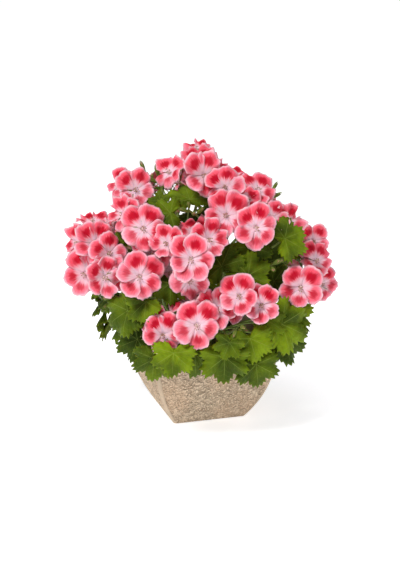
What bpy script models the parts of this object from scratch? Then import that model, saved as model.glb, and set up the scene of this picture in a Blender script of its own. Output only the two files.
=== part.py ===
"""Regal pelargonium in its pot. Metres, +Z up, origin at the middle of the pot's flat bottom.

The square pot stands with its faces along X and Y. The plant is a round crown of flower heads over a
skirt of leaves. What shows from the front is set along lines of sight of someone looking at the plant
from the front left and a little above, in millimetres across and up from the crown's middle. What is
out of their sight follows a seeded rule. Each bloom, stalk and leaf is then bent clear of the rest.
"""

import math
import random
from collections.abc import Callable, Iterator
from dataclasses import dataclass, field, replace
from itertools import chain

import bmesh
import bpy
import numpy as np
from mathutils import Matrix, Vector
from mathutils.bvhtree import BVHTree

MM = 0.001
GAP = 0.3 * MM
UP = Vector((0, 0, 1))

# Pot: half its side at the bottom, and what the curved flanks add by the rim
POT_HEIGHT = 105 * MM
POT_FOOT_HALF = 46.7 * MM
POT_FLARE = 31.3 * MM
POT_CURVE = 2.333
POT_WALL = 6 * MM
POT_CORNER = 4 * MM
POT_ROWS = 6

# Soil, and the plain holes that the stems stand in
SOIL_TOP = 92 * MM
SOIL_DOME = 5 * MM
SOIL_CLEARANCE = 1.3 * MM
SOIL_ROWS = 4
HOLE_DEPTH = 34 * MM
HOLE_RADIUS = 5.8 * MM
HOLE_SIDES = 6

# Someone looking at the plant
VIEW_TURN = math.radians(-17.2)
VIEW_TILT = math.radians(15.3)
VIEW_DISTANCE = 1.6
VIEW_CENTRE = Vector((1.1, -0.4, 162.4)) * MM

# Crown of the plant: an ellipsoid, with its radii across, away from the viewer and up. Its heads and
# leaves point away from the heart
CROWN_CENTRE = Vector((0, 0, 168)) * MM
CROWN_RADII = Vector((150, 142, 152)) * MM
CROWN_HEART = Vector((0, 0, 135)) * MM

# Main shoots: an outer ring, and an inner ring for the heads that rise more than TOP_HEAD_RISE degrees
OUTER_STEMS = 7
INNER_STEMS = 3
OUTER_RING = 42 * MM
INNER_RING = 15 * MM
TOP_HEAD_RISE = 50
SHOOT_RADIUS = 4.2 * MM
SHOOT_TIP_RADIUS = 2.6 * MM
SHOOT_REACHES = (0.5, 0.38, 0.28)
SHOOT_STEPS = 4
SHOOT_RESOLUTION = 1

# Stalks: of a head, of a leaf or bud cluster, and of a bloom with its calyx
PEDUNCLE_RADIUS = 1.9 * MM
PEDUNCLE_END = 4 * MM
PETIOLE_RADIUS = 1.2 * MM
PETIOLE_END_RADIUS = 1.0 * MM
PEDICEL_RADIUS = 1.0 * MM
CALYX_FOOT_RADIUS = 1.5 * MM
CALYX_RADIUS = 2.9 * MM
CALYX_SEAT = 0.3 * MM
CALYX_LENGTH = 0.34
CALYX_ROOM = (9 * MM, 1 * MM)
CALYX_ROOM_RADII = (2.6 * MM, 3 * MM)
ROOT_SWELL = 1.15
ROOT_SHARES = tuple(0.97 - 0.055 * k for k in range(12))
STEMS_TRIED = 3

# Hubs: how far they lie behind their blooms' calyces, which end at a share of a petal behind the blooms,
# and their size
HUB_BEHIND = 0.45
HUB_DEPTHS = (34 * MM, 42 * MM, 26 * MM, 50 * MM)
HUB_ASIDES = (0, 8 * MM, 16 * MM, 24 * MM)
HUB_WAYS = 6
HUB_RADIUS = 3.4 * MM
HUB_HEIGHT = 5 * MM
HUB_SIDES = 6

# Buds: marks along one in mm, with the radius there, for a bud of size 1
BUD_MARKS = ((0, 0.9), (6, 0.9), (11, 2.7), (17, 0.5))
BUD_SPACING = 0.05
BUD_LEAN = (0.55, 0.85)
BUD_SIZES = (0.85, 1.15)
BUD_SET_BACK = 9 * MM

# Blades: thickness at their ribs, thinning to a knife edge
BLADE = 1.5 * MM
WIDENED = 1.02

# Petals, in shares of their length: they widen up to their shoulder and taper past it, rise and arch
# over, and part from each other at the notch. The two upper ones are larger
PETAL_HALF_WIDTH = 0.47
PETAL_FOOT = 0.04
PETAL_SHOULDER = 0.72
PETAL_TAPER = 0.3
PETAL_OPENNESS = (0.85, 1.15)
PETAL_RISE = 0.6
PETAL_ARCH = 0.36
PETAL_TWIST = (0.03, 0.06)
PETAL_WAVE = 0.03
UPPER_PETAL = 1.04
LOWER_PETAL = 0.97
PETAL_SIZES = (0.96, 1.04)
NOTCH = 0.5

# Leaves: lobes and their shoulders in degrees from the tip, how deep the edge is cut between the lobes,
# the cleft at the stalk, and the cup, fold and wave of the blade, in shares of their radius
LEAF_LOBE = 52
LEAF_LOBES = (-104, -52, 0, 52, 104)
LEAF_SHOULDER = 12
LEAF_TIP = 1.06
LEAF_CUT = 0.24
LEAF_CLEFT = 128
LEAF_CLEFT_WIDTH = 34
LEAF_CLEFT_REACH = 0.16
LEAF_CUPS = (0.1, 0.26)
LEAF_FOLD = 0.07
LEAF_WAVE = 0.06
RIB_MIDDLE = 0.56

# Each head in sight: across and up from the crown's middle in mm, then turned right and up in degrees,
# petal length in mm, roll in degrees, number of petals, and mm in front of the crown's surface
HEADS = {
    "a": (
        (-37, 139, -35, 35, 24, 10, 5, 0),
        (-4, 166, 5, 60, 21, 0, 5, -18),
        (-5, 150, -12, 38, 27, -10, 5, -8),
        (5, 136, 5, 10, 28, 15, 5, 10),
        (17, 148, 32, 42, 23, 20, 5, -14),
    ),
    "b": (
        (-98, 124, -25, 20, 22, -20, 5, -6),
        (-81, 118, 10, 15, 26, 15, 5, 4),
    ),
    "c": (
        (-94, 86, -30, 25, 24, -10, 5, -6),
        (-71, 70, 5, 5, 30, 10, 5, 8),
        (-71, 97, 15, 50, 24, 0, 5, -8),
        (-89, 103, -10, 60, 22, 25, 5, -16),
    ),
    "d": (
        (-130, 50, -5, 15, 28, 5, 5, 8),
        (-150, 52, -40, 5, 24, -15, 5, -8),
        (-134, 76, -10, 62, 22, 0, 5, -10),
        (-114, 39, 15, 10, 24, 30, 5, -4),
    ),
    "e": (
        (-143, 14, -10, 0, 30, -10, 5, 10),
        (-120, 10, 20, -12, 26, 20, 5, -6),
    ),
    "f": (
        (-75, 10, 0, 0, 31, -20, 6, 12),
        (-61, 35, 10, 20, 27, 10, 5, 0),
        (-98, 14, -20, -5, 25, 0, 5, -10),
    ),
    "g": (
        (-11, 32, 0, 0, 30, 5, 6, 14),
        (10, 56, 20, 10, 25, 20, 5, 2),
        (-7, 62, 0, 50, 26, -15, 5, -4),
        (-13, 7, 5, -25, 27, 0, 5, -4),
        (-35, 16, -20, -15, 25, 10, 5, -8),
        (-41, 51, -15, 15, 22, -20, 5, -10),
    ),
    "h": (
        (71, 117, 10, 25, 26, 0, 5, 0),
        (31, 121, 0, 10, 26, 20, 5, 0),
        (55, 105, 0, 30, 22, -10, 5, -6),
        (42, 134, 0, 50, 20, 10, 5, -18),
    ),
    "i": (
        (33, 86, -5, 10, 30, -15, 5, 8),
        (70, 72, 5, -5, 29, 20, 6, 12),
        (88, 83, 10, 10, 25, 0, 5, 0),
    ),
    "j": (
        (107, 77, 35, 10, 24, 10, 5, -4),
        (141, 55, 10, 0, 22, 0, 5, 0),
    ),
    "l": (
        (126, -3, -5, -5, 29, -10, 5, 12),
        (151, 1, 15, -5, 25, 15, 5, 0),
        (144, 29, 20, 15, 26, 0, 5, -8),
    ),
    "m": (
        (49, -14, -5, 5, 27, 10, 5, 4),
        (76, -25, 5, 0, 25, -5, 5, 10),
        (39, -30, -10, -15, 22, 20, 5, -8),
    ),
    "n": (
        (-4, -50, 5, -8, 31, 0, 5, 10),
        (-46, -62, -3, 0, 26, 5, 6, 14),
        (-61, -41, -10, 5, 19, -25, 5, -4),
        (19, -30, 15, 0, 26, 10, 5, -6),
        (-13, -25, 0, 45, 26, -10, 5, -2),
    ),
}

# Heads out of sight: turned round the crown from the front and risen, in degrees, share of the crown's
# radius, and number of blooms
BACK_HEADS = {
    "p": (102, 12, 0.94, 3),
    "q": (128, 43, 0.88, 3),
    "r": (138, 6, 1.0, 3),
    "s": (165, 34, 1.0, 4),
    "t": (188, 3, 1.0, 3),
    "u": (205, 52, 0.96, 3),
    "v": (222, 14, 1.0, 3),
    "w": (246, 36, 0.86, 3),
    "x": (168, 70, 0.9, 3),
}
BACK_SPREAD = 25 * MM
BACK_DEPTH = 8
BACK_ROLL = 30
BACK_PETAL = (25, 30)

# Bud clusters: across and up, and mm in front of the crown's surface, and number of buds
BUD_CLUSTERS = (
    (-14, 98, 0, 4),
    (-70, 144, -6, 3),
    (-52, 138, -14, 3),
    (92, 121, -4, 3),
    (94, 28, -2, 3),
    (110, 37, -6, 3),
    (52, -52, 4, 3),
    (-58, -88, 22, 4),
    (-113, -17, 0, 3),
)

# Each leaf in sight: across and up to where its stalk joins, where its tip points in degrees clockwise
# from up, turned right and up in degrees, its radius in mm, and mm in front of the crown's surface
LEAVES = (
    (-90, -32, 245, -25, 10, 33, 0),
    (-78, -68, 250, -20, 0, 30, 6),
    (-111, -11, 240, -40, 20, 26, -16),
    (-67, -21, 230, -15, 20, 28, -22),
    (-57, -92, 190, -10, -15, 30, 26),
    (-33, -85, 185, -5, -10, 30, 14),
    (-6, -87, 180, 0, -20, 32, 24),
    (31, -90, 180, 5, -15, 34, 26),
    (70, -99, 170, 10, -15, 32, 34),
    (63, -67, 165, 0, 0, 30, 22),
    (102, -49, 110, 20, 5, 38, 14),
    (104, -70, 108, 18, -5, 32, 12),
    (114, -31, 80, 20, 15, 30, -4),
    (37, -72, 200, -5, 10, 20, 12),
    (60, 12, 10, 0, 10, 30, -14),
    (27, 23, 330, -10, 20, 34, -22),
    (17, -3, 200, 0, 0, 20, -6),
    (106, 58, 60, 15, 25, 32, -10),
    (83, 28, 20, 5, 20, 34, -24),
    (-37, 90, 270, -15, 25, 26, -8),
    (-13, 107, 350, 5, 35, 28, -22),
    (-4, 86, 160, 5, 15, 26, -12),
    (19, 79, 100, 10, 20, 20, -14),
    (-49, 71, 210, -10, 10, 26, -22),
    (-49, 104, 300, -15, 40, 20, -14),
    (83, -44, 120, 10, 15, 26, -14),
    (-93, 56, 0, 0, 20, 16, -20),
    (-37, 2, 180, 0, 0, 26, -24),
    (63, 48, 160, 0, 0, 28, -24),
    (92, 4, 90, 5, 15, 26, -30),
)

# Leaves out of sight, as rings: how many, first and last turn round the crown from the front, rise in
# degrees, radius in mm and share of the crown's radius
LEAF_RINGS = (
    (9, 90, 256, -25, 35, 0.82),
    (2, 62, 84, -20, 34, 0.68),
    (2, 270, 294, -20, 34, 0.68),
    (7, 98, 262, -6, 36, 0.78),
    (8, 62, 298, 16, 36, 0.74),
    (3, 62, 108, 28, 32, 0.72),
    (3, 252, 298, 28, 32, 0.72),
    (3, 66, 106, -2, 34, 0.6),
    (3, 254, 294, -2, 34, 0.6),
    (2, 150, 210, 58, 28, 0.72),
)
RING_JITTER = 5
RING_SIZES = (0.85, 1.1)
HANGING = 0.9
STANDING = 0.2

# Routes of stalks: how far they run along the ways they leave and arrive, in shares of their span
ROUTE_LEAVE = 0.35
ROUTE_ARRIVE = 0.4
LONGEST_ARRIVAL = 22 * MM

# How far a bloom, stalk or leaf may move, lean, bend and shrink to come clear, in mm, degrees and shares
SHIFTS = (0, 4, -4, 8, -8, 12, -12, 17, -17, 22, -22, 28, -28, 34)
LEAF_SHIFTS = SHIFTS + (42, 52, 64)
LEANS = ((0, 0), (12, 0), (-12, 0), (0, 12), (0, -12))
LEAF_LEANS = LEANS + ((22, 0), (-22, 0), (0, 22), (0, -22))
SCALES = (1.0, 0.94, 0.88, 0.8, 0.72)
LEAF_SCALES = (1.0, 0.88, 0.72)
BENDS = (0, 8, 16, 26, 38)
BEND_WAYS = 8
MARGIN = 0.45 * MM
KEPT_ROOM = 0.2 * MM


@dataclass(frozen=True)
class Viewer:
    """Axes and eye of someone looking at the plant."""

    right: Vector
    up: Vector
    back: Vector
    away: Vector
    eye: Vector


def make_viewer() -> Viewer:
    """The viewer's axes, from their turn and tilt."""
    level, tilt = math.cos(VIEW_TURN), math.cos(VIEW_TILT)
    back = Vector((math.sin(VIEW_TURN) * tilt, -level * tilt, math.sin(VIEW_TILT)))
    right = Vector((level, math.sin(VIEW_TURN), 0))
    away = Vector((-math.sin(VIEW_TURN), level, 0))
    return Viewer(right, back.cross(right), back, away, VIEW_CENTRE + back * VIEW_DISTANCE)


VIEWER = make_viewer()


def crown_unit(offset: Vector) -> Vector:
    """An offset in the frame where the crown is a ball of radius 1."""
    across = offset.dot(VIEWER.right) / CROWN_RADII.x
    away = offset.dot(VIEWER.away) / CROWN_RADII.y
    return Vector((across, away, offset.z / CROWN_RADII.z))


def on_crown(across: float, up: float, proud: float) -> Vector:
    """Where the viewer's line of sight meets the crown, moved towards them by proud, all in mm."""
    aim = VIEW_CENTRE + (VIEWER.right * across + VIEWER.up * up) * MM
    sight = (aim - VIEWER.eye).normalized()
    start, step = crown_unit(VIEWER.eye - CROWN_CENTRE), crown_unit(sight)
    nearest = -start.dot(step) / step.length_squared
    inside = 1 - (start + step * nearest).length_squared
    entry = nearest - math.sqrt(max(inside, 0)) / step.length
    return VIEWER.eye + sight * (entry - proud * MM)


def way_round(turn: float) -> Vector:
    """The level direction turned round the crown from the front, in degrees."""
    turn = math.radians(turn)
    return VIEWER.right * math.sin(turn) - VIEWER.away * math.cos(turn)


def round_crown(turn: float, rise: float, share: float = 1.0) -> Vector:
    """A point turned round the crown and risen, in degrees, at a share of its radius."""
    turn, rise = math.radians(turn), math.radians(rise)
    across = VIEWER.right * math.sin(turn) * CROWN_RADII.x
    near = VIEWER.away * -math.cos(turn) * CROWN_RADII.y
    return CROWN_CENTRE + ((across + near) * math.cos(rise) + UP * math.sin(rise) * CROWN_RADII.z) * share


def facing(right: float, up: float) -> Vector:
    """The direction turned right and up from straight at the viewer, in degrees."""
    right, up = math.radians(right), math.radians(up)
    level = VIEWER.back * math.cos(right) + VIEWER.right * math.sin(right)
    return (level * math.cos(up) + VIEWER.up * math.sin(up)).normalized()


def axes_along(normal: Vector, towards: Vector) -> Matrix:
    """A turn whose Z is the normal and whose X leans towards a direction."""
    x = (towards - normal * towards.dot(normal)).normalized()
    return Matrix((x, normal.cross(x), normal)).transposed()


def leant(turn: Matrix, lean: tuple, roll: float = 0.0) -> Matrix:
    """A turn leant about its own X and Y and rolled about its Z, in degrees."""
    over = Matrix.Rotation(math.radians(lean[0]), 3, "X") @ Matrix.Rotation(math.radians(lean[1]), 3, "Y")
    return turn @ over @ Matrix.Rotation(math.radians(roll), 3, "Z")


def around(turn: Matrix, angle: float) -> Vector:
    """The direction at an angle in radians round a turn's Z."""
    return turn.col[0] * math.cos(angle) + turn.col[1] * math.sin(angle)


@dataclass
class Solid:
    """Points and triangles of one closed piece."""

    points: np.ndarray
    faces: list

    def widened(self) -> "Solid":
        """The piece a little larger about its middle."""
        middle = self.points.mean(axis=0)
        return Solid(middle + (self.points - middle) * WIDENED, self.faces)


@dataclass(frozen=True)
class Blade:
    """A petalled or lobed blade: where its stalk joins, its turn (Z faces out), its size and seed."""

    place: Vector
    turn: Matrix
    size: float
    seed: int

    def to_world(self, points: np.ndarray) -> np.ndarray:
        """Points of the blade's own frame in the world's."""
        return points @ np.array(self.turn).T + np.array(self.place)

    def behind(self, depth: float) -> Vector:
        """The point behind the blade's middle by depth."""
        return self.place - self.turn.col[2] * depth


@dataclass(frozen=True)
class Bloom(Blade):
    """One corolla, whose size is its petals' length and whose X is its top."""

    petals: int

    def petal(self, index: int, along: np.ndarray, across: np.ndarray) -> np.ndarray:
        """Points of one petal, along its length 0..1 and across it -1..1, in the bloom's own frame."""
        draw = random.Random(self.seed * 8 + index)
        openness = draw.uniform(*PETAL_OPENNESS)
        phase = draw.uniform(0, 2 * math.pi)
        twist = draw.uniform(*PETAL_TWIST)
        upper = index in (0, self.petals - 1)
        size = (UPPER_PETAL if upper else LOWER_PETAL) * draw.uniform(*PETAL_SIZES)
        spread = np.sin(0.5 * np.pi * np.minimum(along / PETAL_SHOULDER, 1)) ** 1.5
        beyond = np.clip(along - PETAL_SHOULDER, 0, 1) / (1 - PETAL_SHOULDER)
        half = PETAL_HALF_WIDTH * (5 / self.petals) ** 0.5 * (0.2 + 0.8 * spread)
        x = PETAL_FOOT + (1 - PETAL_FOOT) * along - 0.15 * along**3 * across**2
        y = half * (1 - PETAL_TAPER * beyond**2) * across
        z = openness * (PETAL_RISE * along - PETAL_ARCH * along**2)
        z = z + twist * along * across - 0.07 * along * across**2
        z = z + PETAL_WAVE * np.sin(2.6 * np.pi * across + phase) * along**4
        turn = 2 * math.pi * (index + 0.5) / self.petals
        cos, sin = math.cos(turn), math.sin(turn)
        return np.stack([x * cos - y * sin, x * sin + y * cos, z], -1) * self.size * size

    def solid(self, thickness: float = BLADE) -> Solid:
        """The petals as one sheet: lobes that part halfway to the throat."""
        along = np.array([NOTCH, 0.8, 0.985, 0.985, 0.8, NOTCH, 0.68])
        across = np.array([-1, -0.95, -0.5, 0.5, 0.95, 1, 0])
        lobes = [self.petal(k, along, across) for k in range(self.petals)]
        sheet = [np.zeros(3)] + [(lobes[k - 1][5] + lobes[k][0]) / 2 for k in range(self.petals)]
        rim = set(range(1, self.petals + 1))
        triangles = []
        for k, lobe in enumerate(lobes):
            first = len(sheet)
            sheet += [*lobe[1:5], lobe[6]]
            rim |= set(range(first, first + 4))
            loop = [0, k + 1, *range(first, first + 4), (k + 1) % self.petals + 1]
            triangles += [(first + 4, a, b) for a, b in zip(loop, loop[1:] + loop[:1])]
        flat = two_sided(np.array(sheet), triangles, rim, thickness)
        return Solid(self.to_world(flat.points), flat.faces)

    def with_stalk(self, stalk: "Stalk") -> Solid:
        """The corolla with its calyx and pedicel, as one body."""
        blade = self.solid()
        under = 1 + 6 * self.petals
        return on_stalk(blade, under, self.turn, stalk, self.petals, 0.0)


@dataclass(frozen=True)
class Leaf(Blade):
    """One leaf, whose size is its radius and whose X points to its tip."""

    def blade(self, angle: np.ndarray, share: np.ndarray) -> np.ndarray:
        """Points at an angle in degrees from the tip, at a share of the blade's reach that way."""
        draw = random.Random(self.seed * 8 + 5)
        phase, cup = draw.uniform(0, 2 * math.pi), draw.uniform(*LEAF_CUPS)
        lobe = 0.5 - 0.5 * np.cos(2 * np.pi * angle / LEAF_LOBE)
        body = 1 - 0.2 * (angle / 130) ** 2 - LEAF_CUT * lobe
        cleft = np.clip((np.abs(angle) - LEAF_CLEFT) / LEAF_CLEFT_WIDTH, 0, 1)
        cleft = cleft**2 * (3 - 2 * cleft)
        reach = share * (body * (1 - cleft) + LEAF_CLEFT_REACH * cleft)
        radians = np.radians(angle)
        x, y = reach * np.cos(radians), reach * np.sin(radians)
        z = cup * np.abs(y) - 0.3 * reach**2 * cup - LEAF_FOLD * reach * lobe
        z = z + LEAF_WAVE * reach**3 * np.sin(3 * radians + phase)
        return np.stack([x, y, z], -1) * self.size

    def solid(self, thickness: float = BLADE) -> Solid:
        """Five lobes round the end of the stalk, each pleated along its rib."""
        half = LEAF_LOBE / 2
        edge = [(LEAF_LOBES[0] - half, 1.0)]
        for lobe in LEAF_LOBES:
            edge += [(lobe - LEAF_SHOULDER, LEAF_TIP), (lobe + LEAF_SHOULDER, LEAF_TIP), (lobe + half, 1.0)]
        edge.append((180, 1.0))
        angles, shares = np.array(edge, float).T
        sheet = [np.zeros(3), *self.blade(angles, shares)]
        rim = set(range(1, len(sheet)))
        back = len(sheet) - 1
        triangles = [(0, back - 1, back), (0, back, 1)]
        middles = self.blade(np.array(LEAF_LOBES, float), np.full(len(LEAF_LOBES), RIB_MIDDLE))
        for k, middle in enumerate(middles):
            loop = [0, *range(1 + 3 * k, 5 + 3 * k)]
            triangles += [(len(sheet), a, b) for a, b in zip(loop, loop[1:] + loop[:1])]
            sheet.append(middle)
        flat = two_sided(np.array(sheet), triangles, rim, thickness)
        return Solid(self.to_world(flat.points), flat.faces)

    def with_stalk(self, stalk: "Stalk") -> Solid:
        """The blade with its petiole, as one body."""
        under = 3 + 4 * len(LEAF_LOBES)
        return on_stalk(self.solid(), under, self.turn, stalk, 4, math.pi / 4)


@dataclass
class Stalk:
    """A round stalk: its path and its radius at each point."""

    path: list
    radii: list

    def tube(self, extra: float = 0.0, skip: int = 0, sides: int = 6) -> Solid:
        """The stalk as a closed tube with extra room round it, without its first points."""
        rings = []
        path, radii = self.path[skip:], self.radii[skip:]
        for i, middle in enumerate(path):
            ahead = (path[min(i + 1, len(path) - 1)] - path[max(i - 1, 0)]).normalized()
            turn = axes_along(ahead, ahead.orthogonal())
            radius = radii[i] * 1.1 + extra
            rings.append([middle + around(turn, 2 * math.pi * k / sides) * radius for k in range(sides)])
        return lofted(rings)

    def at(self, share: float) -> tuple[Vector, Vector]:
        """The point and the direction at a share of the way along."""
        place = min(share, 0.999) * (len(self.path) - 1)
        i = int(place)
        ahead = self.path[i + 1] - self.path[i]
        return self.path[i] + ahead * (place - i), ahead.normalized()


def two_sided(sheet: np.ndarray, triangles: list, rim: set, thickness: float) -> Solid:
    """A closed blade with knife edges: the same triangles on both faces, joined along the rim."""
    normals = np.zeros_like(sheet)
    for a, b, c in triangles:
        normals[[a, b, c]] += np.cross(sheet[b] - sheet[a], sheet[c] - sheet[a])
    normals /= np.linalg.norm(normals, axis=1, keepdims=True)
    points, under = list(sheet), list(range(len(sheet)))
    for i in range(len(sheet)):
        if i not in rim:
            points[i] = sheet[i] + normals[i] * thickness / 2
            under[i] = len(points)
            points.append(sheet[i] - normals[i] * thickness / 2)
    lower = [(under[c], under[b], under[a]) for a, b, c in triangles]
    return Solid(np.array(points), triangles + lower)


def lofted(rings: list) -> Solid:
    """Rings of as many points each, joined in order and closed at both ends."""
    sides = len(rings[0])
    faces = []
    for base in range(0, (len(rings) - 1) * sides, sides):
        for k in range(sides):
            a, b = base + k, base + (k + 1) % sides
            faces += [(a, b, b + sides), (a, b + sides, a + sides)]
    last = (len(rings) - 1) * sides
    faces += [(0, k + 1, k) for k in range(1, sides - 1)]
    faces += [(last, last + k, last + k + 1) for k in range(1, sides - 1)]
    return Solid(np.array([point for ring in rings for point in ring]), faces)


def on_stalk(blade: Solid, under: int, turn: Matrix, stalk: Stalk, sides: int, first: float) -> Solid:
    """A blade whose underside opens, round its point number under, into the stalk that bears it."""
    middle = Vector(blade.points[under])
    points = [Vector(point) for point in blade.points]

    def ring_at(turn: Matrix, i: int) -> list:
        """A ring of points round the stalk's point i."""
        start = len(points)
        for k in range(sides):
            points.append(stalk.path[i] + around(turn, first + 2 * math.pi * k / sides) * stalk.radii[i])
        return list(range(start, len(points)))

    def nearest(index: int) -> int:
        """The point of the top ring that lies nearest round the stalk."""
        offset = points[index] - middle
        angle = math.atan2(offset.dot(turn.col[1]), offset.dot(turn.col[0])) - first
        return ring[round(angle / (2 * math.pi) * sides) % sides]

    ring = ring_at(turn, -1)
    faces = [face for face in blade.faces if under not in face]
    for face in blade.faces:
        if under in face:
            place = face.index(under)
            a, b = face[(place + 1) % 3], face[(place + 2) % 3]
            faces.append((nearest(a), a, b))
            if nearest(a) != nearest(b):
                faces.append((nearest(a), b, nearest(b)))
    x = turn.col[0]
    for i in range(len(stalk.path) - 2, -1, -1):
        ahead = (stalk.path[i + 1] - stalk.path[max(i - 1, 0)]).normalized()
        along = axes_along(ahead, x)
        x = along.col[0]
        lower = ring_at(along, i)
        for k in range(sides):
            n = (k + 1) % sides
            faces += [(ring[n], ring[k], lower[k]), (ring[n], lower[k], lower[n])]
        ring = lower
    faces += [(ring[0], ring[k + 1], ring[k]) for k in range(1, sides - 1)]
    del points[under]
    return Solid(np.array(points), [tuple(i - (i > under) for i in face) for face in faces])


def bezier(ends: tuple, steps: int) -> list:
    """Points along a cubic curve, given its four control points."""
    a, b, c, d = ends
    shares = [i / steps for i in range(steps + 1)]
    return [a * (1 - t) ** 3 + b * 3 * t * (1 - t) ** 2 + c * 3 * t * t * (1 - t) + d * t**3 for t in shares]


def routes(start: Vector, start_way: Vector, end: Vector, end_way: Vector, steps: int) -> Iterator[list]:
    """Paths that leave and arrive along the given ways, the straightest first."""
    span = (end - start).length
    turn = axes_along((end - start).normalized(), (end - start).orthogonal())
    for bend in BENDS:
        for k in range(BEND_WAYS if bend else 1):
            push = around(turn, 2 * math.pi * k / BEND_WAYS) * bend * MM
            first = start + start_way * span * ROUTE_LEAVE + push
            second = end - end_way * min(span * ROUTE_ARRIVE, LONGEST_ARRIVAL) + push * 0.7
            yield bezier((start, first, second, end), steps)


class Thicket:
    """All that has grown so far, which whatever comes next is bent clear of."""

    def __init__(self) -> None:
        self.grown = []

    def add(self, solid: Solid, node: str, kind: str) -> None:
        """Takes in a piece of a node."""
        self.grown.append((*self.ball_round(solid.points), self.tree_of(solid), node, kind))

    @staticmethod
    def tree_of(solid: Solid) -> BVHTree:
        """The piece's triangles, ready to test."""
        return BVHTree.FromPolygons([tuple(p) for p in solid.points], solid.faces, all_triangles=True)

    @staticmethod
    def ball_round(points: np.ndarray) -> tuple[np.ndarray, float]:
        """The middle and radius of a ball round the points."""
        middle = (points.min(axis=0) + points.max(axis=0)) / 2
        return middle, float(np.linalg.norm(points - middle, axis=1).max())

    def clear(self, solid: Solid, nodes: tuple = (), kinds: tuple = ()) -> bool:
        """Whether a piece meets nothing, apart from pieces of these nodes or kinds."""
        middle, radius = self.ball_round(solid.points)
        tree = None
        for other_middle, other_radius, other, node, kind in self.grown:
            far = np.linalg.norm(middle - other_middle) > radius + other_radius
            if far or node in nodes or kind in kinds:
                continue
            tree = tree or self.tree_of(solid)
            if tree.overlap(other):
                return False
        return True


@dataclass
class Head:
    """One flower head: its blooms, its hub with the hub's direction, and its pedicels."""

    name: str
    blooms: list
    hub: Vector = field(default_factory=Vector)
    axis: Vector = field(default_factory=Vector)
    pedicels: list = field(default_factory=list)

    @property
    def hub_kind(self) -> str:
        """What the thicket calls this head's hub."""
        return f"hub of {self.name}"

    def hub_tube(self, extra: float) -> Solid:
        """The hub, with extra room round it, for testing."""
        ends = [self.hub - self.axis * extra, self.hub + self.axis * HUB_HEIGHT]
        return Stalk(ends, [HUB_RADIUS] * 2).tube(extra)


@dataclass
class Stem:
    """One leafy stem: its main shoot, all that grows from it, and where on it stalks root."""

    name: str
    shoot: Stalk
    peduncles: list = field(default_factory=list)
    petioles: list = field(default_factory=list)
    leaves: list = field(default_factory=list)
    buds: list = field(default_factory=list)
    taken: list = field(default_factory=list)


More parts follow.
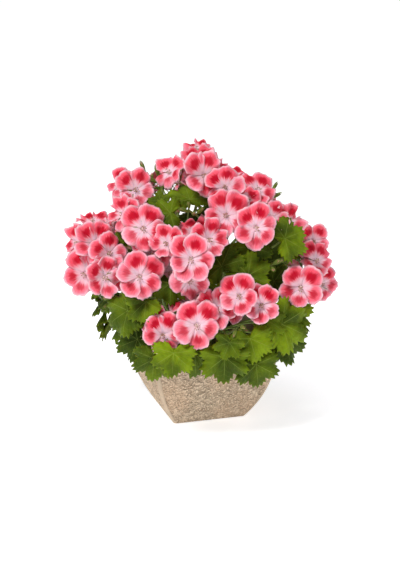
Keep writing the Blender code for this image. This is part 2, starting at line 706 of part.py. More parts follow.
class Plant:
    """Grows the heads, stems and leaves, each clear of the rest."""

    def __init__(self, fixed: dict) -> None:
        self.thicket = Thicket()
        self.crowded = []
        self.heads = []
        self.stems = []
        for node, solid in fixed.items():
            self.thicket.add(solid, node, "fixed")
        self.grow_front_blooms()
        self.grow_back_blooms()
        for head in self.heads:
            self.grow_hub(head)
        self.grow_shoots()
        for head in self.heads:
            self.grow_peduncle(head)
        for number, row in enumerate(BUD_CLUSTERS):
            self.grow_bud_cluster(number, *row)
        self.grow_front_leaves()
        self.grow_back_leaves()

    def grow_front_blooms(self) -> None:
        """Sets the corollas that show from the front."""
        for letter, rows in HEADS.items():
            head = Head(f"head_{letter}", [])
            for across, up, right, rise, length, roll, petals, proud in rows:
                place = on_crown(across, up, proud)
                turn = leant(axes_along(facing(right, rise), VIEWER.up), (0, 0), roll)
                seed = 10 * ord(letter) + len(head.blooms)
                bloom = Bloom(place, turn, length * MM, seed, petals)
                self.set_bloom(head, bloom, (place - VIEWER.eye).normalized())
            self.heads.append(head)

    def grow_back_blooms(self) -> None:
        """Sets the corollas of the heads out of sight, in a ring round each head's middle."""
        for letter, (turn, rise, share, count) in BACK_HEADS.items():
            draw = random.Random(ord(letter))
            head = Head(f"head_{letter}", [])
            middle = round_crown(turn, rise, share)
            outward = (middle - CROWN_HEART).normalized()
            frame = axes_along(outward, UP)
            for k in range(count):
                side = around(frame, 2 * math.pi * (k + draw.uniform(0, 0.3)) / count)
                place = middle + side * BACK_SPREAD - outward * draw.uniform(0, BACK_DEPTH) * MM
                way = (outward + side * 0.35 + UP * 0.15).normalized()
                turn = leant(axes_along(way, UP), (0, 0), draw.uniform(0, BACK_ROLL))
                bloom = Bloom(place, turn, draw.uniform(*BACK_PETAL) * MM, 10 * ord(letter) + k, 5)
                self.set_bloom(head, bloom, -way)
            self.heads.append(head)

    def set_bloom(self, head: Head, bloom: Bloom, depth: Vector) -> None:
        """Adds the bloom to its head, moved along depth, leant and shrunk as little as comes clear."""
        for tried in variants(bloom, depth, SCALES, LEANS, SHIFTS):
            calyx = Stalk([tried.behind(below) for below in CALYX_ROOM], list(CALYX_ROOM_RADII)).tube(MARGIN)
            corolla = tried.solid(BLADE + 2 * MARGIN).widened()
            if self.thicket.clear(corolla) and self.thicket.clear(calyx):
                break
        else:
            self.crowded.append(f"bloom {tried.seed}")
        head.blooms.append(tried)
        self.thicket.add(tried.solid(), head.name, "corolla")
        self.thicket.add(calyx, head.name, "calyx")

    def grow_hub(self, head: Head) -> None:
        """Gives a head its hub, inwards of its blooms, and a pedicel to each bloom."""
        bases = [bloom.behind(HUB_BEHIND * bloom.size) for bloom in head.blooms]
        middle = sum(bases, Vector()) / len(bases)
        head.axis = (middle - CROWN_HEART).normalized()
        frame = axes_along(head.axis, UP)
        fewest, kept = len(bases) + 2, None
        for depth in HUB_DEPTHS:
            for aside in HUB_ASIDES:
                for k in range(HUB_WAYS if aside else 1):
                    if fewest == 0:
                        break
                    side = around(frame, 2 * math.pi * k / HUB_WAYS)
                    head.hub = middle - head.axis * depth + side * aside
                    pedicels, missed = self.pedicels_of(head)
                    if missed < fewest:
                        fewest, kept = missed, (head.hub, pedicels)
        head.hub, head.pedicels = kept
        if fewest:
            self.crowded.append(f"{fewest} pedicels of {head.name}")
        self.thicket.add(head.hub_tube(KEPT_ROOM), head.name, head.hub_kind)
        for pedicel in head.pedicels:
            self.thicket.add(pedicel.tube(KEPT_ROOM), head.name, "pedicel")

    def pedicels_of(self, head: Head) -> tuple[list, int]:
        """Each bloom's pedicel from the head's hub, and how many pieces can't come clear."""
        missed = 0 if self.thicket.clear(head.hub_tube(MM), (head.name,)) else 3
        found = []
        for bloom in head.blooms:
            aside = bloom.place - head.hub
            aside = (aside - head.axis * aside.dot(head.axis)).normalized()
            start = head.hub + head.axis * HUB_HEIGHT * 0.6 + aside * HUB_RADIUS * 0.55
            end = bloom.behind(CALYX_LENGTH * bloom.size)
            bent = routes(start, head.axis, end, bloom.turn.col[2], 2)
            stalks = []
            for path in ([start, end], *bent):
                radii = [PEDICEL_RADIUS] * (len(path) - 1) + [CALYX_FOOT_RADIUS]
                stalks.append(Stalk(path + [bloom.behind(CALYX_SEAT)], radii + [CALYX_RADIUS]))
                if self.thicket.clear(Stalk(path, radii).tube(MARGIN), (head.name,)):
                    found.append(stalks[-1])
                    break
            else:
                missed += 1
                found.append(stalks[0])
        return found, missed

    def grow_shoots(self) -> None:
        """Stands the main shoots in the soil and leans each towards its own heads."""
        tops = [head for head in self.heads if self.rise_of(head.hub) > TOP_HEAD_RISE]
        sides = [head for head in self.heads if head not in tops]
        for count, ring, heads in ((OUTER_STEMS, OUTER_RING, sides), (INNER_STEMS, INNER_RING, tops)):
            for k in range(count):
                turn = 360 * (k + 0.5) / count
                foot = way_round(turn) * ring + UP * (SOIL_TOP - HOLE_DEPTH + GAP)
                hubs = [head.hub for head in heads if self.sector_of(head.hub, count) == k]
                aim = sum(hubs, Vector()) / len(hubs) if hubs else round_crown(turn, 10, 0.6)
                stem = Stem(f"stem_{len(self.stems) + 1:02d}", self.shoot_towards(foot, aim))
                self.thicket.add(stem.shoot.tube(KEPT_ROOM), stem.name, "shoot")
                self.stems.append(stem)

    def shoot_towards(self, foot: Vector, aim: Vector) -> Stalk:
        """A shoot that rises straight out of the soil and stops part of the way to its aim."""
        soil = Vector((foot.x, foot.y, SOIL_TOP + SOIL_DOME + 4 * MM))
        radii = list(np.linspace(SHOOT_RADIUS, SHOOT_TIP_RADIUS, SHOOT_STEPS + 1))
        for reach in SHOOT_REACHES:
            tip = soil + (aim - soil) * reach
            for path in routes(soil, UP, tip, (tip - soil).normalized(), SHOOT_STEPS):
                shoot = Stalk([foot, *path], [SHOOT_RADIUS, *radii])
                if self.thicket.clear(shoot.tube(MARGIN, 1), ("pot", "soil")):
                    return shoot
        self.crowded.append("shoot")
        return shoot

    @staticmethod
    def rise_of(place: Vector) -> float:
        """How far above level a place is as seen from the crown's heart, in degrees."""
        return math.degrees(math.asin((place - CROWN_HEART).normalized().z))

    @staticmethod
    def sector_of(place: Vector, count: int) -> int:
        """Which of count even sectors round the crown a place is in."""
        turn = math.degrees(math.atan2(place.dot(VIEWER.right), -place.dot(VIEWER.away))) % 360
        return int(turn * count / 360)

    def grow_stalk(self, end: Vector, way: Vector, radii: tuple, steps: int, kinds: tuple = ()) -> tuple:
        """A clear side stalk from the nearest shoot that has one, as its stem, stalk and root, or ().

        Radii are the stalk's own and the one at its end. It may meet pieces of the given kinds. With
        kinds it ends in a short straight piece, square to what it carries.
        """
        straight = PEDUNCLE_END if kinds else 0
        near = sorted(self.stems, key=lambda stem: (stem.shoot.path[-1] - end).length)
        for stem in near[:STEMS_TRIED]:
            for share in ROOT_SHARES:
                if share in stem.taken:
                    continue
                root, ahead = stem.shoot.at(share)
                leave = (ahead + (end - root).normalized()).normalized()
                for path in routes(root, leave, end - way * straight, way, steps):
                    path += [end] if straight else []
                    middle = [radii[0]] * (len(path) - 2)
                    stalk = Stalk(path, [radii[0] * ROOT_SWELL, *middle, radii[1]])
                    apart = self.thicket.clear(stalk.tube(MARGIN), (stem.name,), kinds)
                    if apart and self.thicket.clear(stalk.tube(MARGIN, 1), (), ("shoot", *kinds)):
                        return stem, stalk, share
        return ()

    def grow_peduncle(self, head: Head) -> None:
        """Brings a flower stalk up to the flat underside of the head's hub."""
        end = head.hub - head.axis * GAP
        found = self.grow_stalk(end, head.axis, (PEDUNCLE_RADIUS, PEDUNCLE_RADIUS), 2, (head.hub_kind,))
        if not found:
            self.crowded.append(f"peduncle of {head.name}")
            return
        stem, stalk, root = found
        stem.peduncles.append(stalk)
        stem.taken.append(root)
        self.thicket.add(stalk.tube(KEPT_ROOM), stem.name, "peduncle")

    def grow_bud_cluster(self, number: int, across: float, up: float, proud: float, count: int) -> None:
        """Sets a cluster of closed buds round the end of a stalk of its own."""
        for shift in SHIFTS:
            draw = random.Random(700 + number)
            middle = on_crown(across, up, proud - shift)
            outward = ((middle - CROWN_HEART).normalized() + VIEWER.back * 0.6).normalized()
            base = middle - outward * BUD_SET_BACK
            found = self.grow_stalk(base, outward, (PETIOLE_RADIUS, PETIOLE_RADIUS), 3)
            if not found:
                continue
            stem, stalk, root = found
            frame = axes_along(outward, UP)
            cluster = []
            for k in range(count):
                side = around(frame, 2 * math.pi * (k + draw.uniform(0, 0.4)) / count)
                lean = draw.uniform(*BUD_LEAN) if k else 0
                place = stalk.at(1 - BUD_SPACING * k)[0]
                cluster.append(bud(place, (outward + side * lean).normalized(), draw.uniform(*BUD_SIZES)))
            if all(self.thicket.clear(one.tube(MARGIN), (stem.name,)) for one in cluster):
                stem.peduncles.append(stalk)
                stem.taken.append(root)
                stem.buds.append(cluster)
                self.thicket.add(stalk.tube(KEPT_ROOM), stem.name, "peduncle")
                for one in cluster:
                    self.thicket.add(one.tube(KEPT_ROOM), stem.name, "bud")
                return
        self.crowded.append(f"bud cluster {number}")

    def grow_front_leaves(self) -> None:
        """Sets the leaves that show from the front."""
        for seed, (across, up, tip, right, rise, radius, proud) in enumerate(LEAVES):
            tip = math.radians(tip)
            way = VIEWER.up * math.cos(tip) + VIEWER.right * math.sin(tip)
            place = on_crown(across, up, proud)
            leaf = Leaf(place, axes_along(facing(right, rise), way), radius * MM, seed)
            self.set_leaf(leaf, (place - VIEWER.eye).normalized())

    def grow_back_leaves(self) -> None:
        """Sets the rings of leaves out of sight, which hang in the low rings and stand out above."""
        seed = len(LEAVES)
        for count, first, last, rise, radius, share in LEAF_RINGS:
            draw = random.Random(900 + seed)
            for k in range(count):
                turn = first + (last - first) * (k + draw.uniform(-0.25, 0.25)) / (count - 1)
                place = round_crown(turn, rise + draw.uniform(-RING_JITTER, RING_JITTER), share)
                outward = (place - CROWN_HEART).normalized()
                level = Vector((outward.x, outward.y, 0)).normalized()
                drop = HANGING if rise < 0 else STANDING
                tip = level - UP * drop + level.cross(UP) * draw.uniform(-0.5, 0.5)
                normal = (outward + UP * 0.7).normalized()
                size = radius * draw.uniform(*RING_SIZES) * MM
                self.set_leaf(Leaf(place, axes_along(normal, tip.normalized()), size, seed), -outward)
                seed += 1

    def set_leaf(self, leaf: Leaf, depth: Vector) -> None:
        """The leaf moved, leant and shrunk as little as brings it and its stalk clear."""
        for tried in variants(leaf, depth, LEAF_SCALES, LEAF_LEANS, LEAF_SHIFTS):
            if not self.thicket.clear(tried.solid(BLADE + 2 * MARGIN).widened()):
                continue
            up, tip = tried.turn.col[2], tried.turn.col[0]
            end, way = tried.behind(BLADE / 2), (up + tip * 0.8).normalized()
            found = self.grow_stalk(end, way, (PETIOLE_RADIUS, PETIOLE_END_RADIUS), 2)
            if found:
                stem, stalk, root = found
                stem.petioles.append(stalk)
                stem.leaves.append(tried)
                stem.taken.append(root)
                self.thicket.add(stalk.tube(KEPT_ROOM), stem.name, "petiole")
                self.thicket.add(tried.solid(), stem.name, "leaf")
                return
        self.crowded.append(f"leaf {leaf.seed}")


def variants(blade: Blade, depth: Vector, scales: tuple, leans: tuple, shifts: tuple) -> Iterator[Blade]:
    """The blade as it is, then moved along depth, then leant, then smaller."""
    for scale in scales:
        for lean in leans:
            for shift in shifts:
                place = blade.place + depth * shift * MM
                yield replace(blade, place=place, turn=leant(blade.turn, lean), size=blade.size * scale)


def bud(base: Vector, way: Vector, size: float) -> Stalk:
    """A bud on its short stalk: thin, swelling, and pointed."""
    path = [base + way * mark * size * MM for mark, _ in BUD_MARKS]
    return Stalk(path, [radius * size * MM for _, radius in BUD_MARKS])


def pot_half(height: float) -> float:
    """Half the pot's side at a height, on its curved flanks."""
    return POT_FOOT_HALF + POT_FLARE * (1 - (1 - height / POT_HEIGHT) ** POT_CURVE)


def soil_half(height: float) -> float:
    """Half the soil's side at a height, clear of the pot's wall."""
    return pot_half(height) - POT_WALL - SOIL_CLEARANCE


def square_ring(half: float, height: float) -> list:
    """The corners of a level square."""
    return [Vector((x * half, y * half, height)) for x, y in ((-1, -1), (1, -1), (1, 1), (-1, 1))]


def pot_room() -> Solid:
    """The room that the pot takes up, with sharp corners: up its flanks, over its rim and down inside."""
    heights = [POT_HEIGHT * i / POT_ROWS for i in range(POT_ROWS + 1)]
    outside = [square_ring(pot_half(height), height) for height in heights]
    inside = [square_ring(pot_half(height) - POT_WALL, height) for height in reversed(heights[1:])]
    return lofted(outside + inside)


def soil_room() -> Solid:
    """The room that the soil's dome takes up."""
    return lofted([square_ring(soil_half(SOIL_TOP), SOIL_TOP), square_ring(0.01, SOIL_TOP + SOIL_DOME)])


def finish(name: str, colour: tuple, roughness: float) -> bpy.types.Material:
    """A plain finish that isn't metal."""
    made = bpy.data.materials.new(name)
    made.use_nodes = True
    shader = made.node_tree.nodes["Principled BSDF"]
    shader.inputs["Base Color"].default_value = (*colour, 1)
    shader.inputs["Roughness"].default_value = roughness
    shader.inputs["Metallic"].default_value = 0
    made.diffuse_color = (*colour, 1)
    return made


def square_block(name: str, low: float, high: float, half_at: Callable, rows: int) -> bpy.types.Object:
    """A cube cut into rows, whose sides follow half_at, half its width at each height."""
    mesh = bpy.data.meshes.new(name)
    shape = bmesh.new()
    bmesh.ops.create_cube(shape, size=2)
    upright = [edge for edge in shape.edges if abs(edge.verts[0].co.z - edge.verts[1].co.z) > 1]
    bmesh.ops.subdivide_edges(shape, edges=upright, cuts=rows - 1, use_grid_fill=True)
    for vertex in shape.verts:
        height = low + (high - low) * (vertex.co.z + 1) / 2
        half = half_at(height)
        vertex.co = Vector((vertex.co.x * half, vertex.co.y * half, height))
    shape.to_mesh(mesh)
    shape.free()
    return bpy.data.objects.new(name, mesh)


def bevel_corners(block: bpy.types.Object) -> None:
    """Rounds a block's four upright corners."""
    mesh = block.data
    weights = mesh.attributes.new("bevel_weight_edge", "FLOAT", "EDGE")
    for edge in mesh.edges:
        low, high = (mesh.vertices[i].co for i in edge.vertices)
        weights.data[edge.index].value = float(abs(low.z - high.z) > MM)
    bevel = block.modifiers.new("corners", "BEVEL")
    bevel.limit_method = "WEIGHT"
    bevel.width = POT_CORNER
    bevel.segments = 2


def apply_modifiers(piece: bpy.types.Object) -> None:
    """Applies a piece's modifiers to its mesh."""
    graph = bpy.context.evaluated_depsgraph_get()
    made = bpy.data.meshes.new_from_object(piece.evaluated_get(graph))
    piece.modifiers.clear()
    piece.data = made


def build_pot(parts: bpy.types.Collection) -> None:
    """The pot: a bevelled block without its top face, given a wall on its inside."""
    pot = square_block("pot", 0, POT_HEIGHT, pot_half, POT_ROWS)
    parts.objects.link(pot)
    shape = bmesh.new()
    shape.from_mesh(pot.data)
    top = [face for face in shape.faces if all(vertex.co.z > POT_HEIGHT - MM for vertex in face.verts)]
    bmesh.ops.delete(shape, geom=top, context="FACES")
    shape.to_mesh(pot.data)
    shape.free()
    bevel_corners(pot)
    wall = pot.modifiers.new("wall", "SOLIDIFY")
    wall.thickness = POT_WALL
    wall.offset = -1
    wall.use_even_offset = True
    pot.data.materials.append(finish("pot_stone", (0.60, 0.50, 0.38), 0.8))


def build_soil(parts: bpy.types.Collection, cutters: bpy.types.Collection, stems: list) -> None:
    """The soil, domed a little, with a plain hole for each stem."""
    soil = square_block("soil", POT_WALL + GAP, SOIL_TOP, soil_half, SOIL_ROWS)
    parts.objects.link(soil)
    bevel_corners(soil)
    apply_modifiers(soil)
    shape = bmesh.new()
    shape.from_mesh(soil.data)
    top = [face for face in shape.faces if all(vertex.co.z > SOIL_TOP - MM for vertex in face.verts)]
    for peak in bmesh.ops.poke(shape, faces=top)["verts"]:
        peak.co.z += SOIL_DOME
    shape.to_mesh(soil.data)
    shape.free()
    depth = HOLE_DEPTH + 20 * MM
    for stem in stems:
        foot = stem.shoot.path[0]
        bpy.ops.mesh.primitive_cylinder_add(vertices=HOLE_SIDES, radius=HOLE_RADIUS, depth=depth)
        cutter = bpy.context.active_object
        cutter.name = f"hole_{stem.name}"
        cutter.location = foot + UP * (depth / 2 - GAP)
        cutter.hide_render = True
        cutter.display_type = "WIRE"
        for old in list(cutter.users_collection):
            old.objects.unlink(cutter)
        cutters.objects.link(cutter)
    bore = soil.modifiers.new("stem_holes", "BOOLEAN")
    bore.operation = "DIFFERENCE"
    bore.operand_type = "COLLECTION"
    bore.collection = cutters
    soil.data.materials.append(finish("soil_peat", (0.05, 0.035, 0.025), 0.95))


def solid_object(name: str, solid: Solid) -> bpy.types.Object:
    """An object with a solid's points and faces."""
    mesh = bpy.data.meshes.new(name)
    mesh.from_pydata([tuple(point) for point in solid.points], [], solid.faces)
    return bpy.data.objects.new(name, mesh)


def tube_object(name: str, stalk: Stalk, resolution: int = 0) -> bpy.types.Object:
    """A stalk as a bevelled curve, turned into a closed mesh."""
    curve = bpy.data.curves.new(name, "CURVE")
    curve.dimensions = "3D"
    curve.bevel_depth = 1.0
    curve.bevel_resolution = resolution
    curve.use_fill_caps = True
    spline = curve.splines.new("POLY")
    spline.points.add(len(stalk.path) - 1)
    for point, place, radius in zip(spline.points, stalk.path, stalk.radii):
        point.co = (*place, 1)
        point.radius = radius
    drawn = bpy.data.objects.new(name, curve)
    bpy.context.scene.collection.objects.link(drawn)
    graph = bpy.context.evaluated_depsgraph_get()
    mesh = bpy.data.meshes.new_from_object(drawn.evaluated_get(graph))
    bpy.data.objects.remove(drawn)
    shape = bmesh.new()
    shape.from_mesh(mesh)
    bmesh.ops.remove_doubles(shape, verts=shape.verts, dist=0.00001)
    bmesh.ops.recalc_face_normals(shape, faces=shape.faces)
    shape.to_mesh(mesh)
    shape.free()
    return bpy.data.objects.new(name, mesh)


def fuse(core: bpy.types.Object, repeats: list, surface: bpy.types.Material) -> None:
    """Joins repeats to what they grow from, as one body with one surface."""
    group = bpy.data.collections.new(f"{core.name}_repeats")
    bpy.context.scene.collection.children.link(group)
    for repeat in repeats:
        group.objects.link(repeat)
    union = core.modifiers.new("union", "BOOLEAN")
    union.operation = "UNION"
    union.operand_type = "COLLECTION"
    union.collection = group
    union.solver = "MANIFOLD"
    apply_modifiers(core)
    for repeat in repeats:
        bpy.data.objects.remove(repeat)
    bpy.data.collections.remove(group)
    core.data.materials.clear()
    core.data.materials.append(surface)


def build_head(head: Head, parts: bpy.types.Collection, surface: bpy.types.Material) -> None:
    """A flower head: its hub, and its blooms on their pedicels."""
    mesh = bpy.data.meshes.new(head.name)
    shape = bmesh.new()
    turn = axes_along(head.axis, UP).to_4x4()
    place = Matrix.Translation(head.hub + head.axis * HUB_HEIGHT / 2) @ turn
    sizes = {"radius1": HUB_RADIUS, "radius2": HUB_RADIUS * 0.8, "depth": HUB_HEIGHT, "segments": HUB_SIDES}
    bmesh.ops.create_cone(shape, cap_ends=True, matrix=place, **sizes)
    shape.to_mesh(mesh)
    shape.free()
    hub = bpy.data.objects.new(head.name, mesh)
    parts.objects.link(hub)
    repeats = []
    for k, (bloom, pedicel) in enumerate(zip(head.blooms, head.pedicels)):
        repeats.append(solid_object(f"{head.name}_bloom_{k}", bloom.with_stalk(pedicel)))
    fuse(hub, repeats, surface)


def build_stem(stem: Stem, parts: bpy.types.Collection, surface: bpy.types.Material) -> None:
    """A leafy stem: its shoot, stalks, leaves and buds."""
    shoot = tube_object(stem.name, stem.shoot, SHOOT_RESOLUTION)
    parts.objects.link(shoot)
    repeats = []
    for k, stalk in enumerate(stem.peduncles):
        repeats.append(tube_object(f"{stem.name}_stalk_{k}", stalk))
    for k, (leaf, petiole) in enumerate(zip(stem.leaves, stem.petioles)):
        repeats.append(solid_object(f"{stem.name}_leaf_{k}", leaf.with_stalk(petiole)))
    for k, one in enumerate(chain.from_iterable(stem.buds)):
        repeats.append(tube_object(f"{stem.name}_bud_{k}", one))
    fuse(shoot, repeats, surface)


def main() -> Plant:
    """Clears the scene and builds the plant in its pot."""
    for old in list(bpy.data.objects):
        bpy.data.objects.remove(old)
    parts = bpy.data.collections.new("regal_pelargonium")
    cutters = bpy.data.collections.new("cutters")
    for collection in (parts, cutters):
        bpy.context.scene.collection.children.link(collection)
    build_pot(parts)
    plant = Plant({"pot": pot_room(), "soil": soil_room()})
    build_soil(parts, cutters, plant.stems)
    petals = finish("petals", (0.78, 0.28, 0.30), 0.55)
    greens = finish("leaf_green", (0.12, 0.27, 0.06), 0.5)
    for head in plant.heads:
        build_head(head, parts, petals)
    for stem in plant.stems:
        build_stem(stem, parts, greens)
    print("No room for:", plant.crowded)
    return plant


if __name__ == "__main__":
    main()
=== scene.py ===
"""Looks of a regal pelargonium in a square, tapered pot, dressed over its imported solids.

The plant grows here by the same rules, sizes and seeds as its solids, so that each ruffled bloom,
toothed leaf and stalk lies where its plain solid does.
"""

import logging
import math
import random
from collections.abc import Iterator
from dataclasses import dataclass, field, replace
from enum import IntEnum

import bpy
import numpy as np
from mathutils import Matrix, Vector, noise
from mathutils.bvhtree import BVHTree

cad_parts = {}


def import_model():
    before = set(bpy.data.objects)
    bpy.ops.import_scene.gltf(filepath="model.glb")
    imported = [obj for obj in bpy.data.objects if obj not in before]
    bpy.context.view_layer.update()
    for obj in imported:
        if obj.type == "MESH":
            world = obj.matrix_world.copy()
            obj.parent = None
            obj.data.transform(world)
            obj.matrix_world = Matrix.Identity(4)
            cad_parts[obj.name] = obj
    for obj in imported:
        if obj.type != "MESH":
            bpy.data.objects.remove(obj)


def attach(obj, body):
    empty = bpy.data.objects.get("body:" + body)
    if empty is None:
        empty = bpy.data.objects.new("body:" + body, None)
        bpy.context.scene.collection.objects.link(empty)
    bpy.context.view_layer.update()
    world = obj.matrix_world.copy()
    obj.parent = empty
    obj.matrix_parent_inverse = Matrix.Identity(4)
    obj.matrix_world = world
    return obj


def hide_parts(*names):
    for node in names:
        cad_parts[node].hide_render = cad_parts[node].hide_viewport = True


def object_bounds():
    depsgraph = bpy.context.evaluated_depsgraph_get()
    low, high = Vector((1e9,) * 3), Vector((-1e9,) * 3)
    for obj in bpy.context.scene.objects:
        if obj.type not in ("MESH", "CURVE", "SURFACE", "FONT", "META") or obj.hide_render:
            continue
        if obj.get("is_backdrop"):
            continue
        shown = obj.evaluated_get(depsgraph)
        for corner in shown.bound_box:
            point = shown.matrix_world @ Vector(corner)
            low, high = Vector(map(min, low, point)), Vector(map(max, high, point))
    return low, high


Array = np.ndarray
Material = bpy.types.Material

MM = 0.001
GAP = 0.3 * MM
UP = Vector((0, 0, 1))
TURN = 2 * math.pi

# Pot: half its side at the bottom, what the curved flanks add by the rim, and the seed of its relief
POT_HEIGHT = 105 * MM
POT_FOOT_HALF = 46.7 * MM
POT_FLARE = 31.3 * MM
POT_CURVE = 2.333
POT_WALL = 6 * MM
POT_CORNER = 4 * MM
POT_ROWS = 6
POT_SEED = 5

# Soil, and the plain holes that the stems stand in
SOIL_TOP = 92 * MM
SOIL_DOME = 5 * MM
SOIL_CLEARANCE = 1.3 * MM
HOLE_DEPTH = 34 * MM

# Someone looking at the plant
VIEW_TURN = math.radians(-17.2)
VIEW_TILT = math.radians(15.3)
VIEW_DISTANCE = 1.6
VIEW_CENTRE = Vector((1.1, -0.4, 162.4)) * MM

# Crown of the plant: an ellipsoid, with its radii across, away from the viewer and up. Its heads and
# leaves point away from the heart
CROWN_CENTRE = Vector((0, 0, 168)) * MM
CROWN_RADII = Vector((150, 142, 152)) * MM
CROWN_HEART = Vector((0, 0, 135)) * MM

# Main shoots: an outer ring, and an inner ring for the heads that rise more than TOP_HEAD_RISE degrees. One
# with no head of its own aims at a rise in degrees and a share of the crown's radius
OUTER_STEMS = 7
INNER_STEMS = 3
OUTER_RING = 42 * MM
INNER_RING = 15 * MM
TOP_HEAD_RISE = 50
SHOOT_RADIUS = 4.2 * MM
SHOOT_TIP_RADIUS = 2.6 * MM
SHOOT_REACHES = (0.5, 0.38, 0.28)
SHOOT_STEPS = 4
SHOOT_COLLAR = 4 * MM
SHOOT_ALONE = (10, 0.6)

# Stalks: of a head, of a leaf or bud cluster, and of a bloom with its calyx, then where they root on a shoot,
# how many shoots are tried, and the tubes that stand for them while things grow
PEDUNCLE_RADIUS = 1.9 * MM
PEDUNCLE_END = 4 * MM
PETIOLE_RADIUS = 1.2 * MM
PETIOLE_END_RADIUS = 1.0 * MM
PEDICEL_RADIUS = 1.0 * MM
CALYX_FOOT_RADIUS = 1.5 * MM
CALYX_RADIUS = 2.9 * MM
CALYX_SEAT = 0.3 * MM
CALYX_LENGTH = 0.34
CALYX_ROOM = (9 * MM, 1 * MM)
CALYX_ROOM_RADII = (2.6 * MM, 3 * MM)
ROOT_SWELL = 1.15
ROOT_SHARES = tuple(0.97 - 0.055 * k for k in range(12))
STEMS_TRIED = 3
TUBE_SIDES = 6
TUBE_SPARE = 1.1

# Hubs: how far they lie behind their blooms' calyces, which end at a share of a petal behind the blooms,
# their size, where on them pedicels start, in shares of it, and how many missed pedicels a hub that meets
# something counts for
HUB_BEHIND = 0.45
HUB_DEPTHS = (34 * MM, 42 * MM, 26 * MM, 50 * MM)
HUB_ASIDES = (0, 8 * MM, 16 * MM, 24 * MM)
HUB_WAYS = 6
HUB_RADIUS = 3.4 * MM
HUB_HEIGHT = 5 * MM
HUB_START = (0.6, 0.55)
HUB_MISSED = 3

# Buds: marks along one in mm, with the radius there, for a bud of size 1, then how a cluster's buds stand
# on their stalk, how far round one strays in shares of its sector, and how the cluster leans to the viewer
BUD_MARKS = ((0, 0.9), (6, 0.9), (11, 2.7), (17, 0.5))
BUD_SPACING = 0.05
BUD_LEAN = (0.55, 0.85)
BUD_SIZES = (0.85, 1.15)
BUD_SET_BACK = 9 * MM
BUD_SEED = 700
BUD_TURNS = (0, 0.4)
BUD_NEARER = 0.6

# Blades: thickness at their ribs, thinning to a knife edge, and how much wider than itself one is tested
BLADE = 1.5 * MM
WIDENED = 1.02

# Petals, in shares of their length: they widen up to their shoulder and taper past it, rise and arch
# over, and part from each other at the notch. The two upper ones are larger
PETAL_HALF_WIDTH = 0.47
PETAL_FOOT = 0.04
PETAL_SHOULDER = 0.72
PETAL_TAPER = 0.3
PETAL_OPENNESS = (0.85, 1.15)
PETAL_RISE = 0.6
PETAL_ARCH = 0.36
PETAL_TWIST = (0.03, 0.06)
PETAL_WAVE = 0.03
UPPER_PETAL = 1.04
LOWER_PETAL = 0.97
PETAL_SIZES = (0.96, 1.04)
NOTCH = 0.5

# Leaves: lobes and their shoulders in degrees from the tip, how deep the edge is cut between the lobes,
# the cleft at the stalk, and the cup, fold and wave of the blade, in shares of their radius
LEAF_LOBE = 52
LEAF_LOBES = (-104, -52, 0, 52, 104)
LEAF_SHOULDER = 12
LEAF_TIP = 1.06
LEAF_CUT = 0.24
LEAF_CLEFT = 128
LEAF_CLEFT_WIDTH = 34
LEAF_CLEFT_REACH = 0.16
LEAF_CUPS = (0.1, 0.26)
LEAF_FOLD = 0.07
LEAF_WAVE = 0.06
RIB_MIDDLE = 0.56

